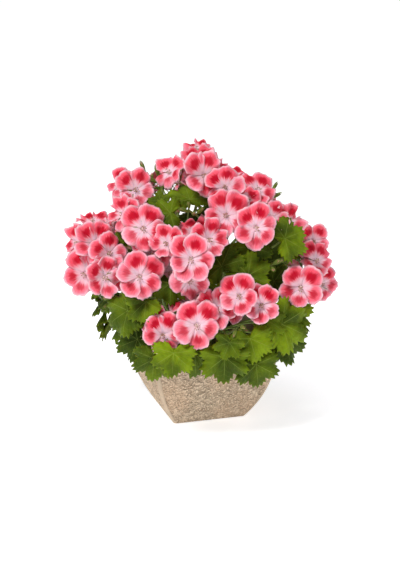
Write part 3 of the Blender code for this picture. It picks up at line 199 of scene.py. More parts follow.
# Each head in sight: across and up from the crown's middle in mm, then turned right and up in degrees,
# petal length in mm, roll in degrees, number of petals, and mm in front of the crown's surface
HEADS = {
    "a": (
        (-37, 139, -35, 35, 24, 10, 5, 0),
        (-4, 166, 5, 60, 21, 0, 5, -18),
        (-5, 150, -12, 38, 27, -10, 5, -8),
        (5, 136, 5, 10, 28, 15, 5, 10),
        (17, 148, 32, 42, 23, 20, 5, -14),
    ),
    "b": (
        (-98, 124, -25, 20, 22, -20, 5, -6),
        (-81, 118, 10, 15, 26, 15, 5, 4),
    ),
    "c": (
        (-94, 86, -30, 25, 24, -10, 5, -6),
        (-71, 70, 5, 5, 30, 10, 5, 8),
        (-71, 97, 15, 50, 24, 0, 5, -8),
        (-89, 103, -10, 60, 22, 25, 5, -16),
    ),
    "d": (
        (-130, 50, -5, 15, 28, 5, 5, 8),
        (-150, 52, -40, 5, 24, -15, 5, -8),
        (-134, 76, -10, 62, 22, 0, 5, -10),
        (-114, 39, 15, 10, 24, 30, 5, -4),
    ),
    "e": (
        (-143, 14, -10, 0, 30, -10, 5, 10),
        (-120, 10, 20, -12, 26, 20, 5, -6),
    ),
    "f": (
        (-75, 10, 0, 0, 31, -20, 6, 12),
        (-61, 35, 10, 20, 27, 10, 5, 0),
        (-98, 14, -20, -5, 25, 0, 5, -10),
    ),
    "g": (
        (-11, 32, 0, 0, 30, 5, 6, 14),
        (10, 56, 20, 10, 25, 20, 5, 2),
        (-7, 62, 0, 50, 26, -15, 5, -4),
        (-13, 7, 5, -25, 27, 0, 5, -4),
        (-35, 16, -20, -15, 25, 10, 5, -8),
        (-41, 51, -15, 15, 22, -20, 5, -10),
    ),
    "h": (
        (71, 117, 10, 25, 26, 0, 5, 0),
        (31, 121, 0, 10, 26, 20, 5, 0),
        (55, 105, 0, 30, 22, -10, 5, -6),
        (42, 134, 0, 50, 20, 10, 5, -18),
    ),
    "i": (
        (33, 86, -5, 10, 30, -15, 5, 8),
        (70, 72, 5, -5, 29, 20, 6, 12),
        (88, 83, 10, 10, 25, 0, 5, 0),
    ),
    "j": (
        (107, 77, 35, 10, 24, 10, 5, -4),
        (141, 55, 10, 0, 22, 0, 5, 0),
    ),
    "l": (
        (126, -3, -5, -5, 29, -10, 5, 12),
        (151, 1, 15, -5, 25, 15, 5, 0),
        (144, 29, 20, 15, 26, 0, 5, -8),
    ),
    "m": (
        (49, -14, -5, 5, 27, 10, 5, 4),
        (76, -25, 5, 0, 25, -5, 5, 10),
        (39, -30, -10, -15, 22, 20, 5, -8),
    ),
    "n": (
        (-4, -50, 5, -8, 31, 0, 5, 10),
        (-46, -62, -3, 0, 26, 5, 6, 14),
        (-61, -41, -10, 5, 19, -25, 5, -4),
        (19, -30, 15, 0, 26, 10, 5, -6),
        (-13, -25, 0, 45, 26, -10, 5, -2),
    ),
}

# Heads out of sight: turned round the crown from the front and risen, in degrees, share of the crown's
# radius, and number of blooms
BACK_HEADS = {
    "p": (102, 12, 0.94, 3),
    "q": (128, 43, 0.88, 3),
    "r": (138, 6, 1.0, 3),
    "s": (165, 34, 1.0, 4),
    "t": (188, 3, 1.0, 3),
    "u": (205, 52, 0.96, 3),
    "v": (222, 14, 1.0, 3),
    "w": (246, 36, 0.86, 3),
    "x": (168, 70, 0.9, 3),
}

# Their blooms: how far from the head's middle, how far behind it at most in mm, roll in degrees at most,
# petal length in mm, how far round one strays in shares of its sector, and how it faces aside and up
BACK_SPREAD = 25 * MM
BACK_DEPTH = 8
BACK_ROLL = 30
BACK_PETAL = (25, 30)
BACK_TURNS = (0, 0.3)
BACK_SPLAY = 0.35
BACK_LIFT = 0.15

# Bud clusters: across and up, mm in front of the crown's surface, and number of buds
BUD_CLUSTERS = (
    (-14, 98, 0, 4),
    (-70, 144, -6, 3),
    (-52, 138, -14, 3),
    (92, 121, -4, 3),
    (94, 28, -2, 3),
    (110, 37, -6, 3),
    (52, -52, 4, 3),
    (-58, -88, 22, 4),
    (-113, -17, 0, 3),
)

# Each leaf in sight: across and up to where its stalk joins, where its tip points in degrees clockwise
# from up, turned right and up in degrees, its radius in mm, and mm in front of the crown's surface
LEAVES = (
    (-90, -32, 245, -25, 10, 33, 0),
    (-78, -68, 250, -20, 0, 30, 6),
    (-111, -11, 240, -40, 20, 26, -16),
    (-67, -21, 230, -15, 20, 28, -22),
    (-57, -92, 190, -10, -15, 30, 26),
    (-33, -85, 185, -5, -10, 30, 14),
    (-6, -87, 180, 0, -20, 32, 24),
    (31, -90, 180, 5, -15, 34, 26),
    (70, -99, 170, 10, -15, 32, 34),
    (63, -67, 165, 0, 0, 30, 22),
    (102, -49, 110, 20, 5, 38, 14),
    (104, -70, 108, 18, -5, 32, 12),
    (114, -31, 80, 20, 15, 30, -4),
    (37, -72, 200, -5, 10, 20, 12),
    (60, 12, 10, 0, 10, 30, -14),
    (27, 23, 330, -10, 20, 34, -22),
    (17, -3, 200, 0, 0, 20, -6),
    (106, 58, 60, 15, 25, 32, -10),
    (83, 28, 20, 5, 20, 34, -24),
    (-37, 90, 270, -15, 25, 26, -8),
    (-13, 107, 350, 5, 35, 28, -22),
    (-4, 86, 160, 5, 15, 26, -12),
    (19, 79, 100, 10, 20, 20, -14),
    (-49, 71, 210, -10, 10, 26, -22),
    (-49, 104, 300, -15, 40, 20, -14),
    (83, -44, 120, 10, 15, 26, -14),
    (-93, 56, 0, 0, 20, 16, -20),
    (-37, 2, 180, 0, 0, 26, -24),
    (63, 48, 160, 0, 0, 28, -24),
    (92, 4, 90, 5, 15, 26, -30),
)

# Leaves out of sight, as rings: how many, first and last turn round the crown from the front, rise in
# degrees, radius in mm and share of the crown's radius
LEAF_RINGS = (
    (9, 90, 256, -25, 35, 0.82),
    (2, 62, 84, -20, 34, 0.68),
    (2, 270, 294, -20, 34, 0.68),
    (7, 98, 262, -6, 36, 0.78),
    (8, 62, 298, 16, 36, 0.74),
    (3, 62, 108, 28, 32, 0.72),
    (3, 252, 298, 28, 32, 0.72),
    (3, 66, 106, -2, 34, 0.6),
    (3, 254, 294, -2, 34, 0.6),
    (2, 150, 210, 58, 28, 0.72),
)

# Their leaves: how far one strays in degrees, its size as a share, how steeply its tip drops in a low ring
# and in a high one, how far it strays round in shares of its sector and its tip aside, how its face turns
# up, and how any leaf's stalk leans to the tip
RING_JITTER = 5
RING_SIZES = (0.85, 1.1)
HANGING = 0.9
STANDING = 0.2
RING_SEED = 900
RING_TURNS = (-0.25, 0.25)
TIP_ASIDE = (-0.5, 0.5)
FACE_UP = 0.7
PETIOLE_LEAN = 0.8

# Routes of stalks: how far they run along the ways they leave and arrive, in shares of their span, and how
# much of a bend is left by their end
ROUTE_LEAVE = 0.35
ROUTE_ARRIVE = 0.4
LONGEST_ARRIVAL = 22 * MM
BEND_LEFT = 0.7

# How far a bloom, stalk or leaf may move, lean, bend and shrink to come clear, in mm, degrees and shares
SHIFTS = (0, 4, -4, 8, -8, 12, -12, 17, -17, 22, -22, 28, -28, 34)
LEAF_SHIFTS = SHIFTS + (42, 52, 64)
LEANS = ((0, 0), (12, 0), (-12, 0), (0, 12), (0, -12))
LEAF_LEANS = LEANS + ((22, 0), (-22, 0), (0, 22), (0, -22))
SCALES = (1.0, 0.94, 0.88, 0.8, 0.72)
LEAF_SCALES = (1.0, 0.88, 0.72)
BENDS = (0, 8, 16, 26, 38)
BEND_WAYS = 8
MARGIN = 0.45 * MM
KEPT_ROOM = 0.2 * MM


class Viewer:
    """Axes and eye of someone looking at the plant."""

    level, tilt = math.cos(VIEW_TURN), math.cos(VIEW_TILT)
    right = Vector((level, math.sin(VIEW_TURN), 0))
    away = Vector((-math.sin(VIEW_TURN), level, 0))
    back = Vector((math.sin(VIEW_TURN) * tilt, -level * tilt, math.sin(VIEW_TILT)))
    up = back.cross(right)
    eye = VIEW_CENTRE + back * VIEW_DISTANCE


def crown_unit(offset: Vector) -> Vector:
    """An offset from the crown's centre, across, away and up, where the crown is a ball of radius 1."""
    across, away = offset.dot(Viewer.right) / CROWN_RADII.x, offset.dot(Viewer.away) / CROWN_RADII.y
    return Vector((across, away, offset.z / CROWN_RADII.z))


def on_crown(across: float, up: float, proud: float) -> Vector:
    """Where the viewer's line of sight meets the crown, moved towards them.

    Args:
        across: How far right of the middle the sight points, in mm.
        up: How far above the middle, in mm.
        proud: How far in front of the crown's surface, in mm.

    Returns:
        The place, in metres.
    """
    aim = VIEW_CENTRE + (Viewer.right * across + Viewer.up * up) * MM
    sight = (aim - Viewer.eye).normalized()
    start, step = crown_unit(Viewer.eye - CROWN_CENTRE), crown_unit(sight)
    nearest = -start.dot(step) / step.length_squared
    inside = 1 - (start + step * nearest).length_squared
    entry = nearest - math.sqrt(max(inside, 0)) / step.length
    return Viewer.eye + sight * (entry - proud * MM)


def way_round(turn: float) -> Vector:
    """The level direction turned round the crown from the front, in degrees."""
    turn = math.radians(turn)
    return Viewer.right * math.sin(turn) - Viewer.away * math.cos(turn)


def round_crown(turn: float, rise: float, share: float = 1.0) -> Vector:
    """A point turned round the crown and risen.

    Args:
        turn: Degrees round from the front.
        rise: Degrees above level.
        share: Share of the crown's radius.

    Returns:
        The point.
    """
    turn, rise = math.radians(turn), math.radians(rise)
    across = Viewer.right * math.sin(turn) * CROWN_RADII.x
    near = Viewer.away * -math.cos(turn) * CROWN_RADII.y
    return CROWN_CENTRE + ((across + near) * math.cos(rise) + UP * math.sin(rise) * CROWN_RADII.z) * share


def facing(right: float, up: float) -> Vector:
    """The direction turned right and up from straight at the viewer, in degrees."""
    level = Viewer.back * math.cos(math.radians(right)) + Viewer.right * math.sin(math.radians(right))
    return (level * math.cos(math.radians(up)) + Viewer.up * math.sin(math.radians(up))).normalized()


def axes_along(normal: Vector, towards: Vector) -> Matrix:
    """A turn whose Z is the normal and whose X leans towards a direction."""
    x = (towards - normal * towards.dot(normal)).normalized()
    return Matrix((x, normal.cross(x), normal)).transposed()


def leant(turn: Matrix, lean: tuple, roll: float = 0.0) -> Matrix:
    """A turn leant about its own X and Y and rolled about its Z, in degrees."""
    over = Matrix.Rotation(math.radians(lean[0]), 3, "X") @ Matrix.Rotation(math.radians(lean[1]), 3, "Y")
    return turn @ over @ Matrix.Rotation(math.radians(roll), 3, "Z")


def around(turn: Matrix, angle: float) -> Vector:
    """The direction at an angle in radians round a turn's Z."""
    return turn.col[0] * math.cos(angle) + turn.col[1] * math.sin(angle)


@dataclass
class Solid:
    """Points and triangles of one closed piece."""

    points: Array
    faces: list

    def widened(self) -> "Solid":
        """The piece a little larger about its middle."""
        middle = self.points.mean(axis=0)
        return Solid(middle + (self.points - middle) * WIDENED, self.faces)

    def tree(self) -> BVHTree:
        """The piece's triangles, ready to test."""
        return BVHTree.FromPolygons([tuple(p) for p in self.points], self.faces, all_triangles=True)

    def ball(self) -> tuple[Array, float]:
        """The middle and radius of a ball round the piece."""
        middle = (self.points.min(axis=0) + self.points.max(axis=0)) / 2
        return middle, float(np.linalg.norm(self.points - middle, axis=1).max())


@dataclass(frozen=True)
class Blade:
    """A petalled or lobed blade: where its stalk joins, its turn (Z faces out), its size and seed."""

    place: Vector
    turn: Matrix
    size: float
    seed: int

    def to_world(self, points: Array) -> Array:
        """Points of the blade's own frame in the world's."""
        return points @ np.array(self.turn).T + np.array(self.place)

    def behind(self, depth: float) -> Vector:
        """The point behind the blade's middle by depth."""
        return self.place - self.turn.col[2] * depth

    def sheet(self) -> tuple[Array, list, set]:
        """The blade as one sheet: its points, its triangles, and the numbers of the points on its rim."""
        raise NotImplementedError

    def solid(self, thickness: float = BLADE) -> Solid:
        """The sheet closed by a second face, with a thickness at its ribs."""
        flat = two_sided(*self.sheet(), thickness)
        return Solid(self.to_world(flat.points), flat.faces)


@dataclass(frozen=True)
class Bloom(Blade):
    """One corolla, whose size is its petals' length and whose X is its top."""

    petals: int

    def petal(self, index: int, along: Array, across: Array) -> Array:
        """Points of one petal in the bloom's own frame.

        Args:
            index: The petal's number, from the top.
            along: Shares of its length, from 0 to 1.
            across: Shares of its half width, from -1 to 1.

        Returns:
            The points, in an array of one more axis.
        """
        draw = random.Random(self.seed * 8 + index)
        openness = draw.uniform(*PETAL_OPENNESS)
        phase = draw.uniform(0, TURN)
        twist = draw.uniform(*PETAL_TWIST)
        upper = index in (0, self.petals - 1)
        size = (UPPER_PETAL if upper else LOWER_PETAL) * draw.uniform(*PETAL_SIZES)
        spread = np.sin(0.5 * np.pi * np.minimum(along / PETAL_SHOULDER, 1)) ** 1.5
        beyond = np.clip(along - PETAL_SHOULDER, 0, 1) / (1 - PETAL_SHOULDER)
        half = PETAL_HALF_WIDTH * (5 / self.petals) ** 0.5 * (0.2 + 0.8 * spread)
        x = PETAL_FOOT + (1 - PETAL_FOOT) * along - 0.15 * along**3 * across**2
        y = half * (1 - PETAL_TAPER * beyond**2) * across
        z = openness * (PETAL_RISE * along - PETAL_ARCH * along**2)
        z = z + twist * along * across - 0.07 * along * across**2
        z = z + PETAL_WAVE * np.sin(2.6 * np.pi * across + phase) * along**4
        turn = TURN * (index + 0.5) / self.petals
        cos, sin = math.cos(turn), math.sin(turn)
        return np.stack([x * cos - y * sin, x * sin + y * cos, z], -1) * self.size * size

    def sheet(self) -> tuple[Array, list, set]:
        """The petals as one sheet: lobes that part halfway to the throat.

        Returns:
            Its points, its triangles and the numbers of the points on its rim.
        """
        along = np.array([NOTCH, 0.8, 0.985, 0.985, 0.8, NOTCH, 0.68])
        across = np.array([-1, -0.95, -0.5, 0.5, 0.95, 1, 0])
        lobes = [self.petal(k, along, across) for k in range(self.petals)]
        sheet = [np.zeros(3)] + [(lobes[k - 1][5] + lobes[k][0]) / 2 for k in range(self.petals)]
        rim = set(range(1, self.petals + 1))
        triangles = []
        for k, lobe in enumerate(lobes):
            first = len(sheet)
            sheet += [*lobe[1:5], lobe[6]]
            rim |= set(range(first, first + 4))
            loop = [0, k + 1, *range(first, first + 4), (k + 1) % self.petals + 1]
            triangles += [(first + 4, a, b) for a, b in zip(loop, loop[1:] + loop[:1])]
        return np.array(sheet), triangles, rim


@dataclass(frozen=True)
class Leaf(Blade):
    """One leaf, whose size is its radius and whose X points to its tip."""

    def blade(self, angle: Array, share: Array) -> Array:
        """Points of the blade in its own frame.

        Args:
            angle: Degrees from the tip.
            share: Shares of the blade's reach that way.

        Returns:
            The points, in an array of one more axis.
        """
        draw = random.Random(self.seed * 8 + 5)
        phase, cup = draw.uniform(0, TURN), draw.uniform(*LEAF_CUPS)
        lobe = 0.5 - 0.5 * np.cos(TURN * angle / LEAF_LOBE)
        body = 1 - 0.2 * (angle / 130) ** 2 - LEAF_CUT * lobe
        cleft = np.clip((np.abs(angle) - LEAF_CLEFT) / LEAF_CLEFT_WIDTH, 0, 1)
        cleft = cleft**2 * (3 - 2 * cleft)
        reach = share * (body * (1 - cleft) + LEAF_CLEFT_REACH * cleft)
        radians = np.radians(angle)
        x, y = reach * np.cos(radians), reach * np.sin(radians)
        z = cup * np.abs(y) - 0.3 * reach**2 * cup - LEAF_FOLD * reach * lobe
        z = z + LEAF_WAVE * reach**3 * np.sin(3 * radians + phase)
        return np.stack([x, y, z], -1) * self.size

    def sheet(self) -> tuple[Array, list, set]:
        """Five lobes round the end of the stalk, each pleated along its rib.

        Returns:
            Its points, its triangles and the numbers of the points on its rim.
        """
        half = LEAF_LOBE / 2
        edge = [(LEAF_LOBES[0] - half, 1.0)]
        for lobe in LEAF_LOBES:
            edge += [(lobe - LEAF_SHOULDER, LEAF_TIP), (lobe + LEAF_SHOULDER, LEAF_TIP), (lobe + half, 1.0)]
        edge.append((180, 1.0))
        angles, shares = np.array(edge, float).T
        sheet = [np.zeros(3), *self.blade(angles, shares)]
        rim = set(range(1, len(sheet)))
        back = len(sheet) - 1
        triangles = [(0, back - 1, back), (0, back, 1)]
        middles = self.blade(np.array(LEAF_LOBES, float), np.full(len(LEAF_LOBES), RIB_MIDDLE))
        for k, middle in enumerate(middles):
            loop = [0, *range(1 + 3 * k, 5 + 3 * k)]
            triangles += [(len(sheet), a, b) for a, b in zip(loop, loop[1:] + loop[:1])]
            sheet.append(middle)
        return np.array(sheet), triangles, rim


@dataclass
class Stalk:
    """A round stalk: its path and its radius at each point."""

    path: list
    radii: list

    def tube(self, extra: float, skip: int = 0) -> Solid:
        """The stalk as a closed tube, for testing.

        Args:
            extra: Room added round it.
            skip: How many of its first points to leave out.

        Returns:
            The tube.
        """
        rings = []
        path, radii = self.path[skip:], self.radii[skip:]
        for i, middle in enumerate(path):
            ahead = (path[min(i + 1, len(path) - 1)] - path[max(i - 1, 0)]).normalized()
            turn = axes_along(ahead, ahead.orthogonal())
            radius = radii[i] * TUBE_SPARE + extra
            rings.append([middle + around(turn, TURN * k / TUBE_SIDES) * radius for k in range(TUBE_SIDES)])
        return lofted(rings)

    def at(self, share: float) -> tuple[Vector, Vector]:
        """The point and the direction at a share of the way along.

        Args:
            share: The share, from 0 to 1.

        Returns:
            The point and the direction.
        """
        place = min(share, 0.999) * (len(self.path) - 1)
        i = int(place)
        ahead = self.path[i + 1] - self.path[i]
        return self.path[i] + ahead * (place - i), ahead.normalized()


def two_sided(sheet: Array, triangles: list, rim: set, thickness: float) -> Solid:
    """A closed blade with knife edges: the same triangles on both faces, joined along the rim.

    Args:
        sheet: Points of its middle.
        triangles: Point numbers of the upper face's triangles.
        rim: Numbers of the points on the rim.
        thickness: Thickness away from the rim.

    Returns:
        The blade.
    """
    normals = np.zeros_like(sheet)
    for a, b, c in triangles:
        normals[[a, b, c]] += np.cross(sheet[b] - sheet[a], sheet[c] - sheet[a])
    normals /= np.linalg.norm(normals, axis=1, keepdims=True)
    points, under = list(sheet), list(range(len(sheet)))
    for i in range(len(sheet)):
        if i not in rim:
            points[i] = sheet[i] + normals[i] * thickness / 2
            under[i] = len(points)
            points.append(sheet[i] - normals[i] * thickness / 2)
    lower = [(under[c], under[b], under[a]) for a, b, c in triangles]
    return Solid(np.array(points), triangles + lower)


def lofted(rings: list) -> Solid:
    """Rings of as many points each, joined in order and closed at both ends.

    Args:
        rings: The rings' points.

    Returns:
        The closed piece.
    """
    sides = len(rings[0])
    faces = []
    for base in range(0, (len(rings) - 1) * sides, sides):
        for k in range(sides):
            a, b = base + k, base + (k + 1) % sides
            faces += [(a, b, b + sides), (a, b + sides, a + sides)]
    last = (len(rings) - 1) * sides
    faces += [(0, k + 1, k) for k in range(1, sides - 1)]
    faces += [(last, last + k, last + k + 1) for k in range(1, sides - 1)]
    return Solid(np.array([point for ring in rings for point in ring]), faces)


def bezier(a: Vector, b: Vector, c: Vector, d: Vector, steps: int) -> list:
    """Points along a cubic curve with four control points, in even steps."""
    shares = [i / steps for i in range(steps + 1)]
    return [a * (1 - t) ** 3 + b * 3 * t * (1 - t) ** 2 + c * 3 * t * t * (1 - t) + d * t**3 for t in shares]


def routes(start: Vector, start_way: Vector, end: Vector, end_way: Vector, steps: int) -> Iterator[list]:
    """Paths that leave and arrive along the given ways, the straightest first.

    Args:
        start: Where they start.
        start_way: The way that they leave.
        end: Where they end.
        end_way: The way that they arrive.
        steps: How many steps each takes.

    Yields:
        The points of each path.
    """
    span = (end - start).length
    turn = axes_along((end - start).normalized(), (end - start).orthogonal())
    for bend in BENDS:
        for k in range(BEND_WAYS if bend else 1):
            push = around(turn, TURN * k / BEND_WAYS) * bend * MM
            first = start + start_way * span * ROUTE_LEAVE + push
            second = end - end_way * min(span * ROUTE_ARRIVE, LONGEST_ARRIVAL) + push * BEND_LEFT
            yield bezier(start, first, second, end, steps)


@dataclass
class Thicket:
    """All that has grown so far, which whatever comes next is bent clear of."""

    grown: list = field(default_factory=list)

    def add(self, solid: Solid, node: str, kind: str) -> None:
        """Takes in a piece of a node."""
        self.grown.append((*solid.ball(), solid.tree(), node, kind))

    def clear(self, solid: Solid, nodes: tuple = (), kinds: tuple = ()) -> bool:
        """Tests whether a piece meets nothing.

        Args:
            solid: The piece.
            nodes: Nodes that it may meet.
            kinds: Kinds of piece that it may meet.

        Returns:
            Whether it is clear.
        """
        middle, radius = solid.ball()
        tree = None
        for other_middle, other_radius, other, node, kind in self.grown:
            far = np.linalg.norm(middle - other_middle) > radius + other_radius
            if far or node in nodes or kind in kinds:
                continue
            tree = tree or solid.tree()
            if tree.overlap(other):
                return False
        return True


@dataclass
class Head:
    """One flower head: its blooms, its hub with the hub's direction, and its pedicels."""

    name: str
    blooms: list
    hub: Vector = field(default_factory=Vector)
    axis: Vector = field(default_factory=Vector)
    pedicels: list = field(default_factory=list)

    @property
    def hub_kind(self) -> str:
        """What the thicket calls this head's hub."""
        return f"hub of {self.name}"

    def hub_tube(self, extra: float) -> Solid:
        """The hub, with extra room round it, for testing."""
        ends = [self.hub - self.axis * extra, self.hub + self.axis * HUB_HEIGHT]
        return Stalk(ends, [HUB_RADIUS] * 2).tube(extra)


@dataclass
class Stem:
    """One leafy stem: its main shoot, all that grows from it, and where on it stalks root."""

    name: str
    shoot: Stalk
    peduncles: list = field(default_factory=list)
    petioles: list = field(default_factory=list)
    leaves: list = field(default_factory=list)
    buds: list = field(default_factory=list)
    taken: list = field(default_factory=list)


class Plant:
    """Grows the heads, stems and leaves, each clear of the rest."""

    def __init__(self, fixed: dict[str, Solid]) -> None:
        """Grows the whole plant.

        Args:
            fixed: What stands there already, by node.
        """
        self.thicket = Thicket()
        self.crowded: list[str] = []
        self.heads: list[Head] = []
        self.stems: list[Stem] = []
        for node, solid in fixed.items():
            self.thicket.add(solid, node, "fixed")
        self.grow_front_blooms()
        self.grow_back_blooms()
        for head in self.heads:
            self.grow_hub(head)
        self.grow_shoots()
        for head in self.heads:
            self.grow_peduncle(head)
        for number, row in enumerate(BUD_CLUSTERS):
            self.grow_bud_cluster(number, *row)
        self.grow_front_leaves()
        self.grow_back_leaves()

    def grow_front_blooms(self) -> None:
        """Sets the corollas that show from the front."""
        for letter, rows in HEADS.items():
            head = Head(f"head_{letter}", [])
            for across, up, right, rise, length, roll, petals, proud in rows:
                place = on_crown(across, up, proud)
                turn = leant(axes_along(facing(right, rise), Viewer.up), (0, 0), roll)
                seed = 10 * ord(letter) + len(head.blooms)
                bloom = Bloom(place, turn, length * MM, seed, petals)
                self.set_bloom(head, bloom, (place - Viewer.eye).normalized())
            self.heads.append(head)

    def grow_back_blooms(self) -> None:
        """Sets the corollas of the heads out of sight, in a ring round each head's middle."""
        for letter, (turn, rise, share, count) in BACK_HEADS.items():
            draw = random.Random(ord(letter))
            head = Head(f"head_{letter}", [])
            middle = round_crown(turn, rise, share)
            outward = (middle - CROWN_HEART).normalized()
            frame = axes_along(outward, UP)
            for k in range(count):
                side = around(frame, TURN * (k + draw.uniform(*BACK_TURNS)) / count)
                place = middle + side * BACK_SPREAD - outward * draw.uniform(0, BACK_DEPTH) * MM
                way = (outward + side * BACK_SPLAY + UP * BACK_LIFT).normalized()
                turn = leant(axes_along(way, UP), (0, 0), draw.uniform(0, BACK_ROLL))
                bloom = Bloom(place, turn, draw.uniform(*BACK_PETAL) * MM, 10 * ord(letter) + k, 5)
                self.set_bloom(head, bloom, -way)
            self.heads.append(head)

    def set_bloom(self, head: Head, bloom: Bloom, depth: Vector) -> None:
        """Adds a bloom to its head, moved, leant and shrunk as little as comes clear.

        Args:
            head: The head.
            bloom: The bloom as it is wanted.
            depth: The way that it may move.
        """
        for tried in variants(bloom, depth, SCALES, LEANS, SHIFTS):
            calyx = Stalk([tried.behind(below) for below in CALYX_ROOM], list(CALYX_ROOM_RADII)).tube(MARGIN)
            corolla = tried.solid(BLADE + 2 * MARGIN).widened()
            if self.thicket.clear(corolla) and self.thicket.clear(calyx):
                break
        else:
            self.crowded.append(f"bloom {tried.seed}")
        head.blooms.append(tried)
        self.thicket.add(tried.solid(), head.name, "corolla")
        self.thicket.add(calyx, head.name, "calyx")

    def grow_hub(self, head: Head) -> None:
        """Gives a head its hub, inwards of its blooms, and a pedicel to each bloom.

        Args:
            head: The head.
        """
        bases = [bloom.behind(HUB_BEHIND * bloom.size) for bloom in head.blooms]
        middle = sum(bases, Vector()) / len(bases)
        head.axis = (middle - CROWN_HEART).normalized()
        frame = axes_along(head.axis, UP)
        fewest, kept = len(bases) + 2, None
        for depth in HUB_DEPTHS:
            for aside in HUB_ASIDES:
                for k in range(HUB_WAYS if aside else 1):
                    if fewest == 0:
                        break
                    side = around(frame, TURN * k / HUB_WAYS)
                    head.hub = middle - head.axis * depth + side * aside
                    pedicels, missed = self.pedicels_of(head)
                    if missed < fewest:
                        fewest, kept = missed, (head.hub, pedicels)
        head.hub, head.pedicels = kept
        if fewest:
            self.crowded.append(f"{fewest} pedicels of {head.name}")
        self.thicket.add(head.hub_tube(KEPT_ROOM), head.name, head.hub_kind)
        for pedicel in head.pedicels:
            self.thicket.add(pedicel.tube(KEPT_ROOM), head.name, "pedicel")

    def pedicels_of(self, head: Head) -> tuple[list, int]:
        """Each bloom's pedicel from the head's hub.

        Args:
            head: The head.

        Returns:
            The pedicels, and how many pieces can't come clear.
        """
        missed = 0 if self.thicket.clear(head.hub_tube(MM), (head.name,)) else HUB_MISSED
        found = []
        for bloom in head.blooms:
            aside = bloom.place - head.hub
            aside = (aside - head.axis * aside.dot(head.axis)).normalized()
            start = head.hub + head.axis * HUB_HEIGHT * HUB_START[0] + aside * HUB_RADIUS * HUB_START[1]
            end = bloom.behind(CALYX_LENGTH * bloom.size)
            bent = routes(start, head.axis, end, bloom.turn.col[2], 2)
            stalks = []
            for path in ([start, end], *bent):
                radii = [PEDICEL_RADIUS] * (len(path) - 1) + [CALYX_FOOT_RADIUS]
                stalks.append(Stalk(path + [bloom.behind(CALYX_SEAT)], radii + [CALYX_RADIUS]))
                if self.thicket.clear(Stalk(path, radii).tube(MARGIN), (head.name,)):
                    found.append(stalks[-1])
                    break
            else:
                missed += 1
                found.append(stalks[0])
        return found, missed

    def grow_shoots(self) -> None:
        """Stands the main shoots in the soil and leans each towards its own heads."""
        tops = [head for head in self.heads if self.rise_of(head.hub) > TOP_HEAD_RISE]
        sides = [head for head in self.heads if head not in tops]
        for count, ring, heads in ((OUTER_STEMS, OUTER_RING, sides), (INNER_STEMS, INNER_RING, tops)):
            for k in range(count):
                turn = 360 * (k + 0.5) / count
                foot = way_round(turn) * ring + UP * (SOIL_TOP - HOLE_DEPTH + GAP)
                hubs = [head.hub for head in heads if self.sector_of(head.hub, count) == k]
                aim = sum(hubs, Vector()) / len(hubs) if hubs else round_crown(turn, *SHOOT_ALONE)
                stem = Stem(f"stem_{len(self.stems) + 1:02d}", self.shoot_towards(foot, aim))
                self.thicket.add(stem.shoot.tube(KEPT_ROOM), stem.name, "shoot")
                self.stems.append(stem)

    def shoot_towards(self, foot: Vector, aim: Vector) -> Stalk:
        """A shoot that rises straight out of the soil and stops part of the way to its aim.

        Args:
            foot: Its lower end, in the soil.
            aim: What it leans towards.

        Returns:
            The shoot.
        """
        soil = Vector((foot.x, foot.y, SOIL_TOP + SOIL_DOME + SHOOT_COLLAR))
        radii = list(np.linspace(SHOOT_RADIUS, SHOOT_TIP_RADIUS, SHOOT_STEPS + 1))
        for reach in SHOOT_REACHES:
            tip = soil + (aim - soil) * reach
            for path in routes(soil, UP, tip, (tip - soil).normalized(), SHOOT_STEPS):
                shoot = Stalk([foot, *path], [SHOOT_RADIUS, *radii])
                if self.thicket.clear(shoot.tube(MARGIN, 1), ("pot", "soil")):
                    return shoot
        self.crowded.append("shoot")
        return shoot

    @staticmethod
    def rise_of(place: Vector) -> float:
        """How far above level a place is as seen from the crown's heart, in degrees."""
        return math.degrees(math.asin((place - CROWN_HEART).normalized().z))

    @staticmethod
    def sector_of(place: Vector, count: int) -> int:
        """Which of count even sectors round the crown a place is in."""
        turn = math.degrees(math.atan2(place.dot(Viewer.right), -place.dot(Viewer.away))) % 360
        return int(turn * count / 360)

    def grow_stalk(self, end: Vector, way: Vector, radii: tuple, steps: int, kinds: tuple = ()) -> tuple:
        """A clear side stalk from the nearest shoot that has one.

        Args:
            end: Where it ends.
            way: The way that it arrives.
            radii: Its own radius, and the one at its end.
            steps: How many steps its path takes.
            kinds: Kinds of piece that it may meet. With any, it ends in a short straight piece.

        Returns:
            Its stem, the stalk and the share of the shoot where it roots, or nothing.
        """
        straight = PEDUNCLE_END if kinds else 0
        near = sorted(self.stems, key=lambda stem: (stem.shoot.path[-1] - end).length)
        for stem in near[:STEMS_TRIED]:
            for share in ROOT_SHARES:
                if share in stem.taken:
                    continue
                root, ahead = stem.shoot.at(share)
                leave = (ahead + (end - root).normalized()).normalized()
                for path in routes(root, leave, end - way * straight, way, steps):
                    path += [end] if straight else []
                    middle = [radii[0]] * (len(path) - 2)
                    stalk = Stalk(path, [radii[0] * ROOT_SWELL, *middle, radii[1]])
                    apart = self.thicket.clear(stalk.tube(MARGIN), (stem.name,), kinds)
                    if apart and self.thicket.clear(stalk.tube(MARGIN, 1), (), ("shoot", *kinds)):
                        return stem, stalk, share
        return ()

    def grow_peduncle(self, head: Head) -> None:
        """Brings a flower stalk up to the flat underside of the head's hub.

        Args:
            head: The head.
        """
        end = head.hub - head.axis * GAP
        found = self.grow_stalk(end, head.axis, (PEDUNCLE_RADIUS, PEDUNCLE_RADIUS), 2, (head.hub_kind,))
        if not found:
            self.crowded.append(f"peduncle of {head.name}")
            return
        self.keep_stalk("peduncle", *found)

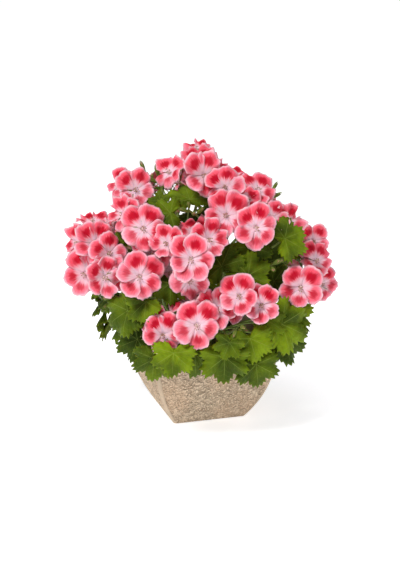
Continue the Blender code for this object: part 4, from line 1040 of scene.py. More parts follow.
    def keep_stalk(self, kind: str, stem: Stem, stalk: Stalk, share: float) -> None:
        """Roots a side stalk on its stem.

        Args:
            kind: What the thicket calls it.
            stem: Its stem.
            stalk: The stalk.
            share: The share of the shoot where it roots.
        """
        (stem.petioles if kind == "petiole" else stem.peduncles).append(stalk)
        stem.taken.append(share)
        self.thicket.add(stalk.tube(KEPT_ROOM), stem.name, kind)

    def grow_bud_cluster(self, number: int, across: float, up: float, proud: float, count: int) -> None:
        """Sets a cluster of closed buds round the end of a stalk of its own.

        Args:
            number: The cluster's number.
            across: How far right of the middle it shows, in mm.
            up: How far above the middle, in mm.
            proud: How far in front of the crown's surface, in mm.
            count: How many buds.
        """
        for shift in SHIFTS:
            draw = random.Random(BUD_SEED + number)
            middle = on_crown(across, up, proud - shift)
            outward = ((middle - CROWN_HEART).normalized() + Viewer.back * BUD_NEARER).normalized()
            base = middle - outward * BUD_SET_BACK
            found = self.grow_stalk(base, outward, (PETIOLE_RADIUS, PETIOLE_RADIUS), 3)
            if not found:
                continue
            stem, stalk, _ = found
            frame = axes_along(outward, UP)
            cluster = []
            for k in range(count):
                side = around(frame, TURN * (k + draw.uniform(*BUD_TURNS)) / count)
                lean = draw.uniform(*BUD_LEAN) if k else 0
                place = stalk.at(1 - BUD_SPACING * k)[0]
                cluster.append(bud(place, (outward + side * lean).normalized(), draw.uniform(*BUD_SIZES)))
            if all(self.thicket.clear(one.tube(MARGIN), (stem.name,)) for one in cluster):
                self.keep_stalk("peduncle", *found)
                stem.buds.append(cluster)
                for one in cluster:
                    self.thicket.add(one.tube(KEPT_ROOM), stem.name, "bud")
                return
        self.crowded.append(f"bud cluster {number}")

    def grow_front_leaves(self) -> None:
        """Sets the leaves that show from the front."""
        for seed, (across, up, tip, right, rise, radius, proud) in enumerate(LEAVES):
            tip = math.radians(tip)
            way = Viewer.up * math.cos(tip) + Viewer.right * math.sin(tip)
            place = on_crown(across, up, proud)
            leaf = Leaf(place, axes_along(facing(right, rise), way), radius * MM, seed)
            self.set_leaf(leaf, (place - Viewer.eye).normalized())

    def grow_back_leaves(self) -> None:
        """Sets the rings of leaves out of sight, which hang in the low rings and stand out above."""
        seed = len(LEAVES)
        for count, first, last, rise, radius, share in LEAF_RINGS:
            draw = random.Random(RING_SEED + seed)
            for k in range(count):
                turn = first + (last - first) * (k + draw.uniform(*RING_TURNS)) / (count - 1)
                place = round_crown(turn, rise + draw.uniform(-RING_JITTER, RING_JITTER), share)
                outward = (place - CROWN_HEART).normalized()
                level = Vector((outward.x, outward.y, 0)).normalized()
                drop = HANGING if rise < 0 else STANDING
                tip = level - UP * drop + level.cross(UP) * draw.uniform(*TIP_ASIDE)
                normal = (outward + UP * FACE_UP).normalized()
                size = radius * draw.uniform(*RING_SIZES) * MM
                self.set_leaf(Leaf(place, axes_along(normal, tip.normalized()), size, seed), -outward)
                seed += 1

    def set_leaf(self, leaf: Leaf, depth: Vector) -> None:
        """Sets a leaf, moved, leant and shrunk as little as brings it and its stalk clear.

        Args:
            leaf: The leaf as it is wanted.
            depth: The way that it may move.
        """
        for tried in variants(leaf, depth, LEAF_SCALES, LEAF_LEANS, LEAF_SHIFTS):
            if not self.thicket.clear(tried.solid(BLADE + 2 * MARGIN).widened()):
                continue
            up, tip = tried.turn.col[2], tried.turn.col[0]
            end, way = tried.behind(BLADE / 2), (up + tip * PETIOLE_LEAN).normalized()
            found = self.grow_stalk(end, way, (PETIOLE_RADIUS, PETIOLE_END_RADIUS), 2)
            if found:
                self.keep_stalk("petiole", *found)
                found[0].leaves.append(tried)
                self.thicket.add(tried.solid(), found[0].name, "leaf")
                return
        self.crowded.append(f"leaf {leaf.seed}")


def variants(blade: Blade, depth: Vector, scales: tuple, leans: tuple, shifts: tuple) -> Iterator[Blade]:
    """The blade as it is, then moved, then leant, then smaller.

    Args:
        blade: The blade.
        depth: The way that it moves.
        scales: Its sizes, as shares.
        leans: Its leans about X and Y, in degrees.
        shifts: How far it moves, in mm.

    Yields:
        Each variant.
    """
    for scale in scales:
        for lean in leans:
            for shift in shifts:
                place = blade.place + depth * shift * MM
                yield replace(blade, place=place, turn=leant(blade.turn, lean), size=blade.size * scale)


def bud(base: Vector, way: Vector, size: float) -> Stalk:
    """A bud on its short stalk: thin, swelling, and pointed."""
    path = [base + way * mark * size * MM for mark, _ in BUD_MARKS]
    return Stalk(path, [radius * size * MM for _, radius in BUD_MARKS])


def pot_half(height: float) -> float:
    """Half the pot's side at a height, on its curved flanks."""
    return POT_FOOT_HALF + POT_FLARE * (1 - (1 - height / POT_HEIGHT) ** POT_CURVE)


def soil_half(height: float) -> float:
    """Half the soil's side at a height, clear of the pot's wall."""
    return pot_half(height) - POT_WALL - SOIL_CLEARANCE


def square_ring(half: float, height: float) -> list:
    """The corners of a level square."""
    return [Vector((x * half, y * half, height)) for x, y in ((-1, -1), (1, -1), (1, 1), (-1, 1))]


def pot_room() -> Solid:
    """The room that the pot takes up, with sharp corners: up its flanks, over its rim and down inside.

    Returns:
        The room as a closed piece.
    """
    heights = [POT_HEIGHT * i / POT_ROWS for i in range(POT_ROWS + 1)]
    outside = [square_ring(pot_half(height), height) for height in heights]
    inside = [square_ring(pot_half(height) - POT_WALL, height) for height in reversed(heights[1:])]
    return lofted(outside + inside)


def soil_room() -> Solid:
    """The room that the soil's dome takes up."""
    return lofted([square_ring(soil_half(SOIL_TOP), SOIL_TOP), square_ring(0.01, SOIL_TOP + SOIL_DOME)])


@dataclass
class Patch:
    """Part of a fine mesh: points, faces, three numbers a point that its finish reads, and its material."""

    points: Array
    quads: Array
    triangles: Array
    places: Array
    slot: int = 0


# Fine meshes: no faces, the attribute that the finishes read, the hairs on stalks, the tone that marks an
# underside, with the tones between which a finish goes over to it, and the side veins of a lobe: how many,
# and how far they slant
NO_QUADS = np.zeros((0, 4), int)
NO_TRIANGLES = np.zeros((0, 3), int)
PLACE = "place"
HAIR_SPACING = 0.9 * MM
HAIR_RADIUS = 0.06 * MM
HAIR_LENGTH = 0.9 * MM
UNDERSIDE = 2.0
UNDER_RAMP = (1.3, 1.7)
VEINS = 5.5
VEIN_SLANT = 0.42


def grid_quads(rows: int, columns: int, closed: bool) -> Array:
    """Quads of a grid of points that is numbered row by row.

    Args:
        rows: How many rows of points.
        columns: How many points in a row.
        closed: Whether the last column joins the first.

    Returns:
        The point numbers of each quad.
    """
    across = columns if closed else columns - 1
    row, column = np.meshgrid(np.arange(rows - 1), np.arange(across), indexing="ij")
    after = (column + 1) % columns
    upper, lower = row * columns, (row + 1) * columns
    corners = [upper + column, upper + after, lower + after, lower + column]
    return np.stack([corner.ravel() for corner in corners], 1)


def fan(centre: int, ring: Array) -> Array:
    """Triangles from a centre point to each pair of neighbours round a closed ring."""
    return np.stack([np.full(len(ring), centre), ring, np.roll(ring, -1)], 1)


def grid_normals(grid: Array, closed: bool) -> Array:
    """Normals of a grid of points.

    Args:
        grid: The points, by row and column.
        closed: Whether the last column joins the first.

    Returns:
        A normal for each point.
    """
    down = np.gradient(grid, axis=0)
    along = (np.roll(grid, -1, 1) - np.roll(grid, 1, 1)) if closed else np.gradient(grid, axis=1)
    normals = np.cross(down, along)
    return normals / np.maximum(np.linalg.norm(normals, axis=2, keepdims=True), 1e-12)


def blade_shares(rows: int, columns: int) -> list:
    """Shares along a blade from 0 to 1 and across it from -1 to 1, by row and column."""
    return np.meshgrid(np.linspace(0, 1, rows), np.linspace(-1, 1, columns), indexing="ij")


def shell(
    grid: Array, shares: tuple, tone: float, thickness: float, slot: int, up: Array | None = None
) -> Patch:
    """A thin blade over a grid, thinning to a knife edge, and closed unless the grid is rings.

    Args:
        grid: The points of the blade's middle, by row and column.
        shares: The first two numbers of their places, by row and column.
        tone: The third number.
        thickness: Thickness away from the edges.
        slot: Number of the material.
        up: Where the grid is rings round an open middle, the way that their upper face looks.

    Returns:
        The blade.
    """
    rows, columns = grid.shape[:2]
    rings = up is not None
    normals = grid_normals(grid, rings)
    inside = np.zeros((rows, columns), bool)
    if rings:
        normals *= np.sign(normals @ up)[..., None]
        inside[:-1] = True
    else:
        inside[1:-1, 1:-1] = True
    places = np.stack([*shares, np.full((rows, columns), tone)], 2)
    offset = normals * (thickness / 2) * inside[..., None]
    upper = (grid + offset).reshape(-1, 3)
    lower = (grid - offset)[inside]
    under = np.arange(rows * columns).reshape(rows, columns)
    under[inside] = rows * columns + np.arange(inside.sum())
    faces = grid_quads(rows, columns, rings)[:, ::-1]
    below = under.ravel()[faces][:, ::-1]
    beneath = places[inside].copy()
    beneath[:, 2] = UNDERSIDE
    spots = np.vstack([places.reshape(-1, 3), beneath])
    return Patch(np.vstack([upper, lower]), np.vstack([faces, below]), NO_TRIANGLES, spots, slot)


def spread(side: Array, axis: Array, out: Array, rise: Array, width: Array) -> Array:
    """Offsets out to a side, up along an axis, and by a width across both."""
    return out[..., None] * side + rise[..., None] * axis + width[..., None] * np.cross(axis, side)


def smooth_path(path: list, radii: list, steps: int) -> tuple[Array, Array]:
    """A smooth curve through a stalk's points.

    Args:
        path: The points.
        radii: The radius at each point.
        steps: How many steps to take between two points.

    Returns:
        The curve's points, and the radius at each.
    """
    known = np.array([tuple(point) for point in path])
    rounded = np.vstack([2 * known[0] - known[1], known, 2 * known[-1] - known[-2]])
    curve, widths = [], []
    for i in range(len(known) - 1):
        a, b, c, d = rounded[i : i + 4]
        for t in np.arange(steps) / steps:
            curve.append(b + 0.5 * t * (c - a + t * (2 * a - 5 * b + 4 * c - d + t * (3 * (b - c) + d - a))))
            widths.append(radii[i] + (radii[i + 1] - radii[i]) * t)
    return np.array(curve + [known[-1]]), np.array(widths + [radii[-1]])


def pipe(curve: Array, widths: Array, sides: int, tone: float, slot: int) -> Patch:
    """A round pipe along a curve, closed by a low cone at each end.

    Args:
        curve: Points along the middle.
        widths: The radius at each point.
        sides: How many sides it has.
        tone: The third number of its places.
        slot: Number of the material.

    Returns:
        The pipe, whose places hold the share along it and the share round it.
    """
    ahead = np.gradient(curve, axis=0)
    ahead /= np.maximum(np.linalg.norm(ahead, axis=1, keepdims=True), 1e-12)
    side = np.array(Vector(ahead[0]).orthogonal().normalized())
    angles = TURN * np.arange(sides) / sides
    rings = []
    for middle, along, width in zip(curve, ahead, widths):
        side = side - along * side.dot(along)
        side /= np.linalg.norm(side)
        other = np.cross(along, side)
        rings.append(middle + width * (np.cos(angles)[:, None] * side + np.sin(angles)[:, None] * other))
    rows = len(curve)
    tips = [curve[0] - ahead[0] * widths[0] * 0.2, curve[-1] + ahead[-1] * widths[-1] * 0.3]
    points = np.vstack([np.array(rings).reshape(-1, 3), tips])
    share = np.repeat(np.linspace(0, 1, rows), sides)
    places = np.stack([share, np.tile(angles / TURN, rows), np.full(rows * sides, tone)], 1)
    places = np.vstack([places, [[0, 0, tone], [1, 0, tone]]])
    first, last = np.arange(sides), (rows - 1) * sides + np.arange(sides)
    caps = np.vstack([fan(rows * sides, first[::-1]), fan(rows * sides + 1, last)])
    return Patch(points, grid_quads(rows, sides, True), caps, places, slot)


def hairs(curve: Array, widths: Array, tone: float, slot: int) -> Patch:
    """Fine hairs all along a stalk, each a thin three-sided spike whose foot lies inside the stalk.

    Args:
        curve: Points along the stalk's middle.
        widths: The radius at each point.
        tone: The third number of their places.
        slot: Number of the material.

    Returns:
        The hairs.
    """
    steps = np.linalg.norm(np.diff(curve, axis=0), axis=1)
    count = int(steps.sum() / HAIR_SPACING)
    draw = np.random.default_rng(int(abs(curve[-1] * 1e5).sum()))
    spots = draw.uniform(0.02, 0.98, count) * (len(curve) - 1)
    i = spots.astype(int)
    share = (spots - i)[:, None]
    middle = curve[i] * (1 - share) + curve[i + 1] * share
    along = (curve[i + 1] - curve[i]) / np.maximum(steps[i], 1e-9)[:, None]
    width = (widths[i] * (1 - share[:, 0]) + widths[i + 1] * share[:, 0])[:, None]
    out = draw.normal(size=(count, 3))
    out -= along * (out * along).sum(1, keepdims=True)
    out /= np.linalg.norm(out, axis=1, keepdims=True)
    side = np.cross(along, out)
    foot = middle + out * width * 0.8
    tip = middle + out * (width + HAIR_LENGTH * draw.uniform(0.5, 1, (count, 1))) + along * HAIR_LENGTH * 0.3
    feet = [foot + HAIR_RADIUS * (along * a + side * b) for a, b in ((1, 0), (-0.5, 0.87), (-0.5, -0.87))]
    points = np.stack([*feet, tip], 1).reshape(-1, 3)
    faces = np.arange(count)[:, None, None] * 4 + np.array([[0, 1, 2], [1, 0, 3], [2, 1, 3], [0, 2, 3]])
    return Patch(points, NO_QUADS, faces.reshape(-1, 3), np.tile([0.5, 0.5, tone], (count * 4, 1)), slot)


def hairy(stalk: Stalk, steps: int, sides: int, tones: tuple, slot: int) -> tuple[Patch, Patch]:
    """A smooth stalk and its hairs, whose tones are given in that order."""
    curve, widths = smooth_path(stalk.path, stalk.radii, steps)
    return pipe(curve, widths, sides, tones[0], slot), hairs(curve, widths, tones[1], slot)


@dataclass
class Piece:
    """Gathers patches into one object, whose materials are in the order of the patches' slots."""

    name: str
    finishes: list
    patches: list = field(default_factory=list)

    def add(self, *patches: Patch) -> None:
        """Takes in patches."""
        self.patches.extend(patches)

    def make(self, node: str, slot: str) -> None:
        """Makes the object, which rides on the body and stands for its node.

        Args:
            node: The node that it replaces.
            slot: The record's material slot. Not used.
        """
        starts = np.cumsum([0] + [len(patch.points) for patch in self.patches])
        faces = [patch.quads + start for patch, start in zip(self.patches, starts)]
        faces += [patch.triangles + start for patch, start in zip(self.patches, starts)]
        corners = np.concatenate([part.ravel() for part in faces])
        sizes = np.concatenate([np.full(len(part), part.shape[1]) for part in faces])
        slots = [np.full(len(part), patch.slot) for part, patch in zip(faces, self.patches * 2)]
        mesh = bpy.data.meshes.new(self.name)
        mesh.vertices.add(starts[-1])
        mesh.vertices.foreach_set("co", np.vstack([patch.points for patch in self.patches]).ravel())
        mesh.loops.add(len(corners))
        mesh.loops.foreach_set("vertex_index", corners.astype(np.int32))
        mesh.polygons.add(len(sizes))
        mesh.polygons.foreach_set("loop_start", (np.cumsum(sizes) - sizes).astype(np.int32))
        mesh.polygons.foreach_set("material_index", np.concatenate(slots).astype(np.int32))
        mesh.polygons.foreach_set("use_smooth", np.ones(len(sizes), bool))
        mesh.update(calc_edges=True)
        place = mesh.attributes.new(PLACE, "FLOAT_VECTOR", "POINT")
        place.data.foreach_set("vector", np.vstack([patch.places for patch in self.patches]).ravel())
        for finish in self.finishes:
            mesh.materials.append(finish)
        made = bpy.data.objects.new(self.name, mesh)
        bpy.context.scene.collection.objects.link(made)
        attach(made, "root")
        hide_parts(node)
        logging.info("%s: %d triangles", self.name, len(corners) - 2 * len(sizes))


@dataclass(frozen=True)
class Sum:
    """A node's output, on which sums are written as Python expressions."""

    nodes: "Nodes"
    socket: bpy.types.NodeSocket

    def value(self, operation: str, *others: object) -> "Sum":
        """A Math node on this value and the others."""
        return self.nodes.add("ShaderNodeMath", {"operation": operation}, dict(enumerate((self, *others))))

    def __add__(self, other: object) -> "Sum":
        """This value plus the other."""
        return self.value("ADD", other)

    __radd__ = __add__

    def __mul__(self, other: object) -> "Sum":
        """This value times the other."""
        return self.value("MULTIPLY", other)

    def __sub__(self, other: object) -> "Sum":
        """This value less the other."""
        return self.value("SUBTRACT", other)

    def __rsub__(self, other: object) -> "Sum":
        """The other less this value."""
        return self.nodes.add("ShaderNodeMath", {"operation": "SUBTRACT"}, {0: other, 1: self})

    def __truediv__(self, other: object) -> "Sum":
        """This value over the other."""
        return self.value("DIVIDE", other)

    def size(self) -> "Sum":
        """The value without its sign."""
        return self.value("ABSOLUTE")

    def waves(self, count: int) -> "Sum":
        """So many waves as the value goes from 0 to 1."""
        return (self * (count * TURN)).value("SINE")

    def part(self) -> "Sum":
        """The part of the value past its whole number."""
        return self.value("FRACT")

    def highest(self, other: object) -> "Sum":
        """The larger of two values."""
        return self.value("MAXIMUM", other)

    def ramp(self, low: float, high: float) -> "Sum":
        """A smooth rise from 0 where the value is low to 1 where it is high."""
        inputs = {"Value": self, "From Min": low, "From Max": high}
        return self.nodes.add("ShaderNodeMapRange", {"interpolation_type": "SMOOTHSTEP"}, inputs)


class Nodes:
    """The nodes of one material."""

    def __init__(self, name: str) -> None:
        """Starts a material that has only its main shader.

        Args:
            name: Its name.
        """
        self.material = bpy.data.materials.new(name)
        self.material.use_nodes = True
        self.tree = self.material.node_tree
        self.shader = self.tree.nodes["Principled BSDF"]

    def add(self, kind: str, settings: dict, inputs: dict, output: object = 0) -> Sum:
        """Adds a node.

        Args:
            kind: Its type.
            settings: Its own settings, set first.
            inputs: Values or links of its sockets, by name or number.
            output: Name or number of the output to go on with.

        Returns:
            That output.
        """
        node = self.tree.nodes.new(kind)
        for name, value in settings.items():
            setattr(node, name, value)
        for name, value in inputs.items():
            self.feed(node.inputs[name], value)
        return Sum(self, node.outputs[output])

    def feed(self, socket: bpy.types.NodeSocket, value: object) -> None:
        """Links a socket to a sum, or sets its value.

        Args:
            socket: The socket.
            value: The sum, or a number, or a colour as a tuple.
        """
        if isinstance(value, Sum):
            self.tree.links.new(value.socket, socket)
        elif socket.type == "RGBA":
            socket.default_value = (*value, 1)
        else:
            socket.default_value = value

    def place(self) -> tuple[Sum, Sum, Sum]:
        """The three numbers of the place on the part."""
        found = self.add("ShaderNodeAttribute", {"attribute_name": PLACE}, {}, "Vector")
        return tuple(self.add("ShaderNodeSeparateXYZ", {}, {0: found}, axis) for axis in "XYZ")

    def here(self) -> Sum:
        """The object's own coordinates."""
        return self.add("ShaderNodeTexCoord", {}, {}, "Object")

    def vector(self, x: object, y: object, z: object) -> Sum:
        """Coordinates made of three values."""
        return self.add("ShaderNodeCombineXYZ", {}, {0: x, 1: y, 2: z})

    def noise(self, scale: float, detail: float = 2, roughness: float = 0.5, where: Sum | None = None) -> Sum:
        """Noise about 0.5 with scale lumps to a metre, in the object's own space or at other coordinates."""
        inputs = {"Vector": where or self.here(), "Scale": scale, "Detail": detail, "Roughness": roughness}
        return self.add("ShaderNodeTexNoise", {}, inputs, "Fac")

    def mix(self, share: object, first: object, second: object) -> Sum:
        """A colour that goes from the first to the second as the share goes from 0 to 1."""
        inputs = {0: share, 6: first, 7: second}
        return self.add("ShaderNodeMix", {"data_type": "RGBA", "clamp_factor": True}, inputs, 2)

    def bump(self, height: Sum, strength: float, distance: float) -> Sum:
        """A normal raised by a height, of which 1 stands for the distance in metres."""
        inputs = {"Height": height, "Strength": strength, "Distance": distance}
        return self.add("ShaderNodeBump", {}, inputs, "Normal")

    def finish(self, **sockets: object) -> Material:
        """Feeds the main shader.

        Args:
            sockets: Values or links of its sockets, each named with _ for a space.

        Returns:
            The material.
        """
        for name, value in sockets.items():
            self.feed(self.shader.inputs[name.replace("_", " ")], value)
        return self.material


@dataclass(frozen=True)
class PetalFinish:
    """Petals: a pale throat, a feathered crimson blotch, a coral flush and a pale margin."""

    throat: tuple = (0.86, 0.60, 0.68)
    flush: tuple = (0.86, 0.070, 0.115)
    body: tuple = (0.88, 0.24, 0.32)
    pale: tuple = (0.90, 0.40, 0.50)
    margin: tuple = (0.94, 0.56, 0.62)
    blotch: tuple = (0.47, 0.0, 0.016)
    underside: tuple = (0.80, 0.30, 0.38)
    streaks: float = 6.0
    centre: float = 0.56
    breadth: float = 0.38

    def make(self) -> Material:
        """Builds the material.

        Returns:
            The material. A place is the share out along the petal, the share across it, and how dark.
        """
        n = Nodes("petal_surface")
        out, across, tone = n.place()
        side = across.size()
        under = tone.ramp(*UNDER_RAMP)
        dark = tone * (1 - under)
        lengthwise = n.vector(across * self.streaks, out * 1.1, dark * 40)
        streak = n.noise(1.0, 3, 0.6, lengthwise) - 0.5
        finer = n.vector(across * self.streaks * 3.2, out * 1.6, dark * 25)
        fine = (n.noise(1.0, 2, 0.6, finer) - 0.5).size()
        vein = fine.ramp(0.10, 0.0) * out.ramp(0.12, 0.35) * out.ramp(1.0, 0.8)
        length = (out - self.centre - streak * 0.36) * 0.9
        spread = side * self.breadth + streak * 0.12
        blotch = (length * length + spread * spread - dark * 0.008 + fine * 0.03).ramp(0.041, 0.0)
        blotch = blotch * (dark * 0.4 + 0.6)
        length = out - self.centre - 0.05 - streak * 0.25
        flush = (length * length + spread * spread - dark * 0.02).ramp(0.115, 0.02) * (dark * 0.35 + 0.5)
        white = (out * 1.1 - side * (0.56 - dark * 0.18) - streak * 0.4 + dark * 0.06).ramp(0.50, 0.14)
        edge = (out + streak * 0.08).ramp(0.86, 1.0)
        colour = n.mix(dark * 0.8 + 0.1 + streak * 0.5, self.pale, self.body)
        colour = n.mix(flush, colour, self.flush)
        colour = n.mix(edge * 0.9, colour, self.margin)
        colour = n.mix(white * 0.95, colour, self.throat)
        colour = n.mix(blotch, colour, self.blotch)
        colour = n.mix(vein * 0.22, colour, self.blotch)
        colour = n.mix(under * 0.6, colour, self.underside)
        ridge = n.bump((1 - vein) * 0.5 + streak, 0.4, 0.0006)
        inner = {"Specular_IOR_Level": 0.1, "Subsurface_Weight": 0.15, "Subsurface_Scale": 0.002}
        return n.finish(Base_Color=colour, Roughness=0.55, Normal=ridge, **inner)


@dataclass(frozen=True)
class LeafFinish:
    """Leaves: yellow-green with faint paler veins, darker patches, painted shade deep in the crown, painted
    light towards the edges, and a grey-green underside.
    """

    deep: tuple = (0.024, 0.044, 0.001)
    fresh: tuple = (0.205, 0.295, 0.003)
    vein: tuple = (0.29, 0.37, 0.07)
    dark_tone_and_painted_shade: tuple = (0.026, 0.050, 0.003)
    underside: tuple = (0.12, 0.16, 0.025)

    def make(self) -> Material:
        """Builds the material.

        Returns:
            The material. A place is the share out to the edge, the angle from the tip, and a tone, which
            darkens a leaf at random and as painted shade deep in the crown.
        """
        n = Nodes("leaf_surface")
        out, angle, tone = n.place()
        under = tone.ramp(*UNDER_RAMP)
        grain = n.noise(180, 3)
        broad = n.noise(30, 2)
        turn = angle / LEAF_LOBE + 0.5
        across = (turn.part() - 0.5).size() * 2
        main = (across * out + (grain - 0.5) * 0.02).ramp(0.026, 0.006) * out.ramp(0.95, 0.5)
        steps = (out - across * VEIN_SLANT + (broad - 0.5) * 0.12) * VEINS
        branch = (steps.part() - 0.5).size().ramp(0.44, 0.5) * across.ramp(0.95, 0.5)
        # Dark and fresh green in broad random patches, plus painted light: a quarter of the share comes from
        # the share out, so the leaf is lighter towards its edge
        colour = n.mix(broad.ramp(0.32, 0.68) * 0.75 + out * 0.25, self.deep, self.fresh)
        # Painted shade: the tone is high for leaves deep in the crown, and for some leaves at random, and
        # turns the leaf to the dark green
        colour = n.mix(tone * (1 - under), colour, self.dark_tone_and_painted_shade)
        # Painted light: lighter still at the rim
        colour = n.mix(out.ramp(0.84, 1.0) * 0.3, colour, self.fresh)
        colour = n.mix(grain.ramp(0.4, 0.8) * 0.3, colour, self.deep)
        colour = n.mix((main * 0.4).highest(branch * 0.2), colour, self.vein)
        colour = n.mix(under * 0.7, colour, self.underside)
        quilt = n.bump(1 - main.highest(branch * 0.6) + grain * 0.6, 0.5, 0.0009)
        inner = {"Specular_IOR_Level": 0.12, "Subsurface_Weight": 0.1, "Subsurface_Scale": 0.001}
        return n.finish(Base_Color=colour, Roughness=0.5 + grain * 0.25, Normal=quilt, **inner)


@dataclass(frozen=True)
class StalkFinish:
    """Stalks: green, flushed with another colour along their length, with fine ridges."""

    name: str
    green: tuple
    flushed: tuple
    share: float = 0.5

    def make(self) -> Material:
        """Builds the material.

        Returns:
            The material. A place is the share along, the share round, and a tone.
        """
        n = Nodes(self.name)
        along, around, tone = n.place()
        patchy = n.noise(120, 3)
        ridges = around.waves(6) * 0.5 + 0.5
        flush = (patchy.ramp(0.3, 0.7) * 0.6 + along * 0.4) * self.share * (tone * 0.5 + 0.75)
        colour = n.mix(flush, self.green, self.flushed)
        raised = n.bump(ridges * 0.5 + n.noise(900, 2) * 0.5, 0.4, 0.0003)
        return n.finish(Base_Color=colour, Roughness=0.6, Normal=raised)


@dataclass(frozen=True)
class BudFinish:
    """Buds: a green, finely hairy calyx with the folded petals pink at the tip."""

    calyx: tuple = (0.19, 0.28, 0.04)
    ridge: tuple = (0.32, 0.40, 0.09)
    petal: tuple = (0.84, 0.36, 0.33)

    def make(self) -> Material:
        """Builds the material.

        Returns:
            The material. A place is the share along, the share round, and how pink the tip is.
        """
        n = Nodes("bud_surface")
        along, around, tone = n.place()
        seam = around.waves(5) * 0.06
        pink = (along + seam).ramp(0.66, 0.80) * tone
        colour = n.mix(n.noise(400, 2) * 0.5, self.calyx, self.ridge)
        colour = n.mix(pink, colour, self.petal)
        raised = n.bump(around.waves(10) * 0.5 + n.noise(1500, 2), 0.5, 0.0003)
        return n.finish(Base_Color=colour, Roughness=0.6, Normal=raised, Specular_IOR_Level=0.2)


@dataclass(frozen=True)
class StoneFinish:
    """The pot: beige cast stone, with painted shade towards the rim and in the pits of its hammered relief,
    and painted light on its lumps.
    """

    high: tuple = (1.0, 0.795, 0.575)
    low: tuple = (0.35, 0.26, 0.175)
    warm: tuple = (0.73, 0.50, 0.33)
    shaded: tuple = (0.55, 0.44, 0.335)
    strip: tuple = (0.52, 0.41, 0.295)
    pebbles: float = 330.0

    def make(self) -> Material:
        """Builds the material.

        Returns:
            The material. A place is the height of the relief from 0 to 1, where it is smooth, and the
            share up the pot.
        """
        n = Nodes("stone_surface")
        relief, plain, rise = n.place()
        grit = n.noise(1400, 3, 0.65)
        speckle = n.noise(520, 2, 0.6)
        broad = n.noise(26, 3)
        inputs = {"Vector": n.here(), "Scale": self.pebbles, "Smoothness": 0.5}
        pebble = n.add("ShaderNodeTexVoronoi", {"feature": "SMOOTH_F1"}, inputs, "Distance").ramp(0.65, 0.1)
        # Painted shade and light of the relief: darker in its pits, lighter on its lumps
        colour = n.mix(relief.ramp(0.0, 0.6) * 0.5 + pebble * 0.5, self.low, self.high)
        colour = n.mix(broad.ramp(0.4, 0.7) * 0.5, colour, self.warm)
        colour = n.mix(plain * 0.7, colour, self.strip)
        # Painted shade: darker towards the rim, where the leaves shade the pot
        colour = n.mix(rise.ramp(0.45, 0.95) * 0.55, colour, self.shaded)
        colour = n.mix(grit.ramp(0.58, 0.75) * 0.3, colour, self.low)
        raised = n.bump((relief * 0.8 + pebble) * (1 - plain) + grit * 0.15 + speckle * 0.15, 1.0, 0.0019)
        return n.finish(Base_Color=colour, Roughness=0.72 + grit * 0.2, Normal=raised, Specular_IOR_Level=0.3)


@dataclass(frozen=True)
class PeatFinish:
    """Soil: dark, fibrous peat."""

    dark: tuple = (0.018, 0.011, 0.007)
    light: tuple = (0.09, 0.055, 0.03)

    def make(self) -> Material:
        """Builds the material.

        Returns:
            The material.
        """
        n = Nodes("peat_surface")
        crumb = n.noise(500, 4, 0.7)
        colour = n.mix(crumb.ramp(0.35, 0.7), self.dark, self.light)
        return n.finish(Base_Color=colour, Roughness=0.95, Normal=n.bump(crumb, 0.8, 0.0012))


@dataclass(frozen=True)
class PlainFinish:
    """A finish of one hue with a faint grain, for small parts."""

    name: str
    colour: tuple
    roughness: float = 0.6
    grain: float = 0.1

    def make(self) -> Material:
        """Builds the material.

        Returns:
            The material.
        """
        n = Nodes(self.name)
        darker = tuple(part * 0.6 for part in self.colour)
        colour = n.mix(n.noise(700, 2) * self.grain, self.colour, darker)
        return n.finish(Base_Color=colour, Roughness=self.roughness)


@dataclass(frozen=True)
class FloorFinish:
    """The floor: plain white, with a glow of painted light that makes up for the lamps' falloff far from the
    plant, dimmer and bluish near it so that the plant's shadow shows there.
    """

    colour: tuple = (0.93, 0.93, 0.94)
    # Painted light: the floor's glow near the plant (bluish), its glow far from it, and the distances over
    # which it changes
    near: tuple = (0.60, 0.612, 0.627)
    far: tuple = (0.745, 0.745, 0.745)
    reach: tuple = (0.09, 0.55)

    def make(self) -> Material:
        """Builds the material.

        Returns:
            The material.
        """
        n = Nodes("floor_surface")
        away = n.add("ShaderNodeVectorMath", {"operation": "LENGTH"}, {0: n.here()}, "Value")
        # Painted light: the floor glows, dimmer and bluish near the plant so that the plant's shadow shows
        # there, brighter far off
        glow = n.mix(away.ramp(*self.reach), self.near, self.far)
        return n.finish(Base_Color=self.colour, Roughness=0.9, Emission_Color=glow, Emission_Strength=1.0)


class HeadSlot(IntEnum):
    """The materials of a flower head."""

    PETAL = 0
    STALK = 1
    FILAMENT = 2
    ANTHER = 3


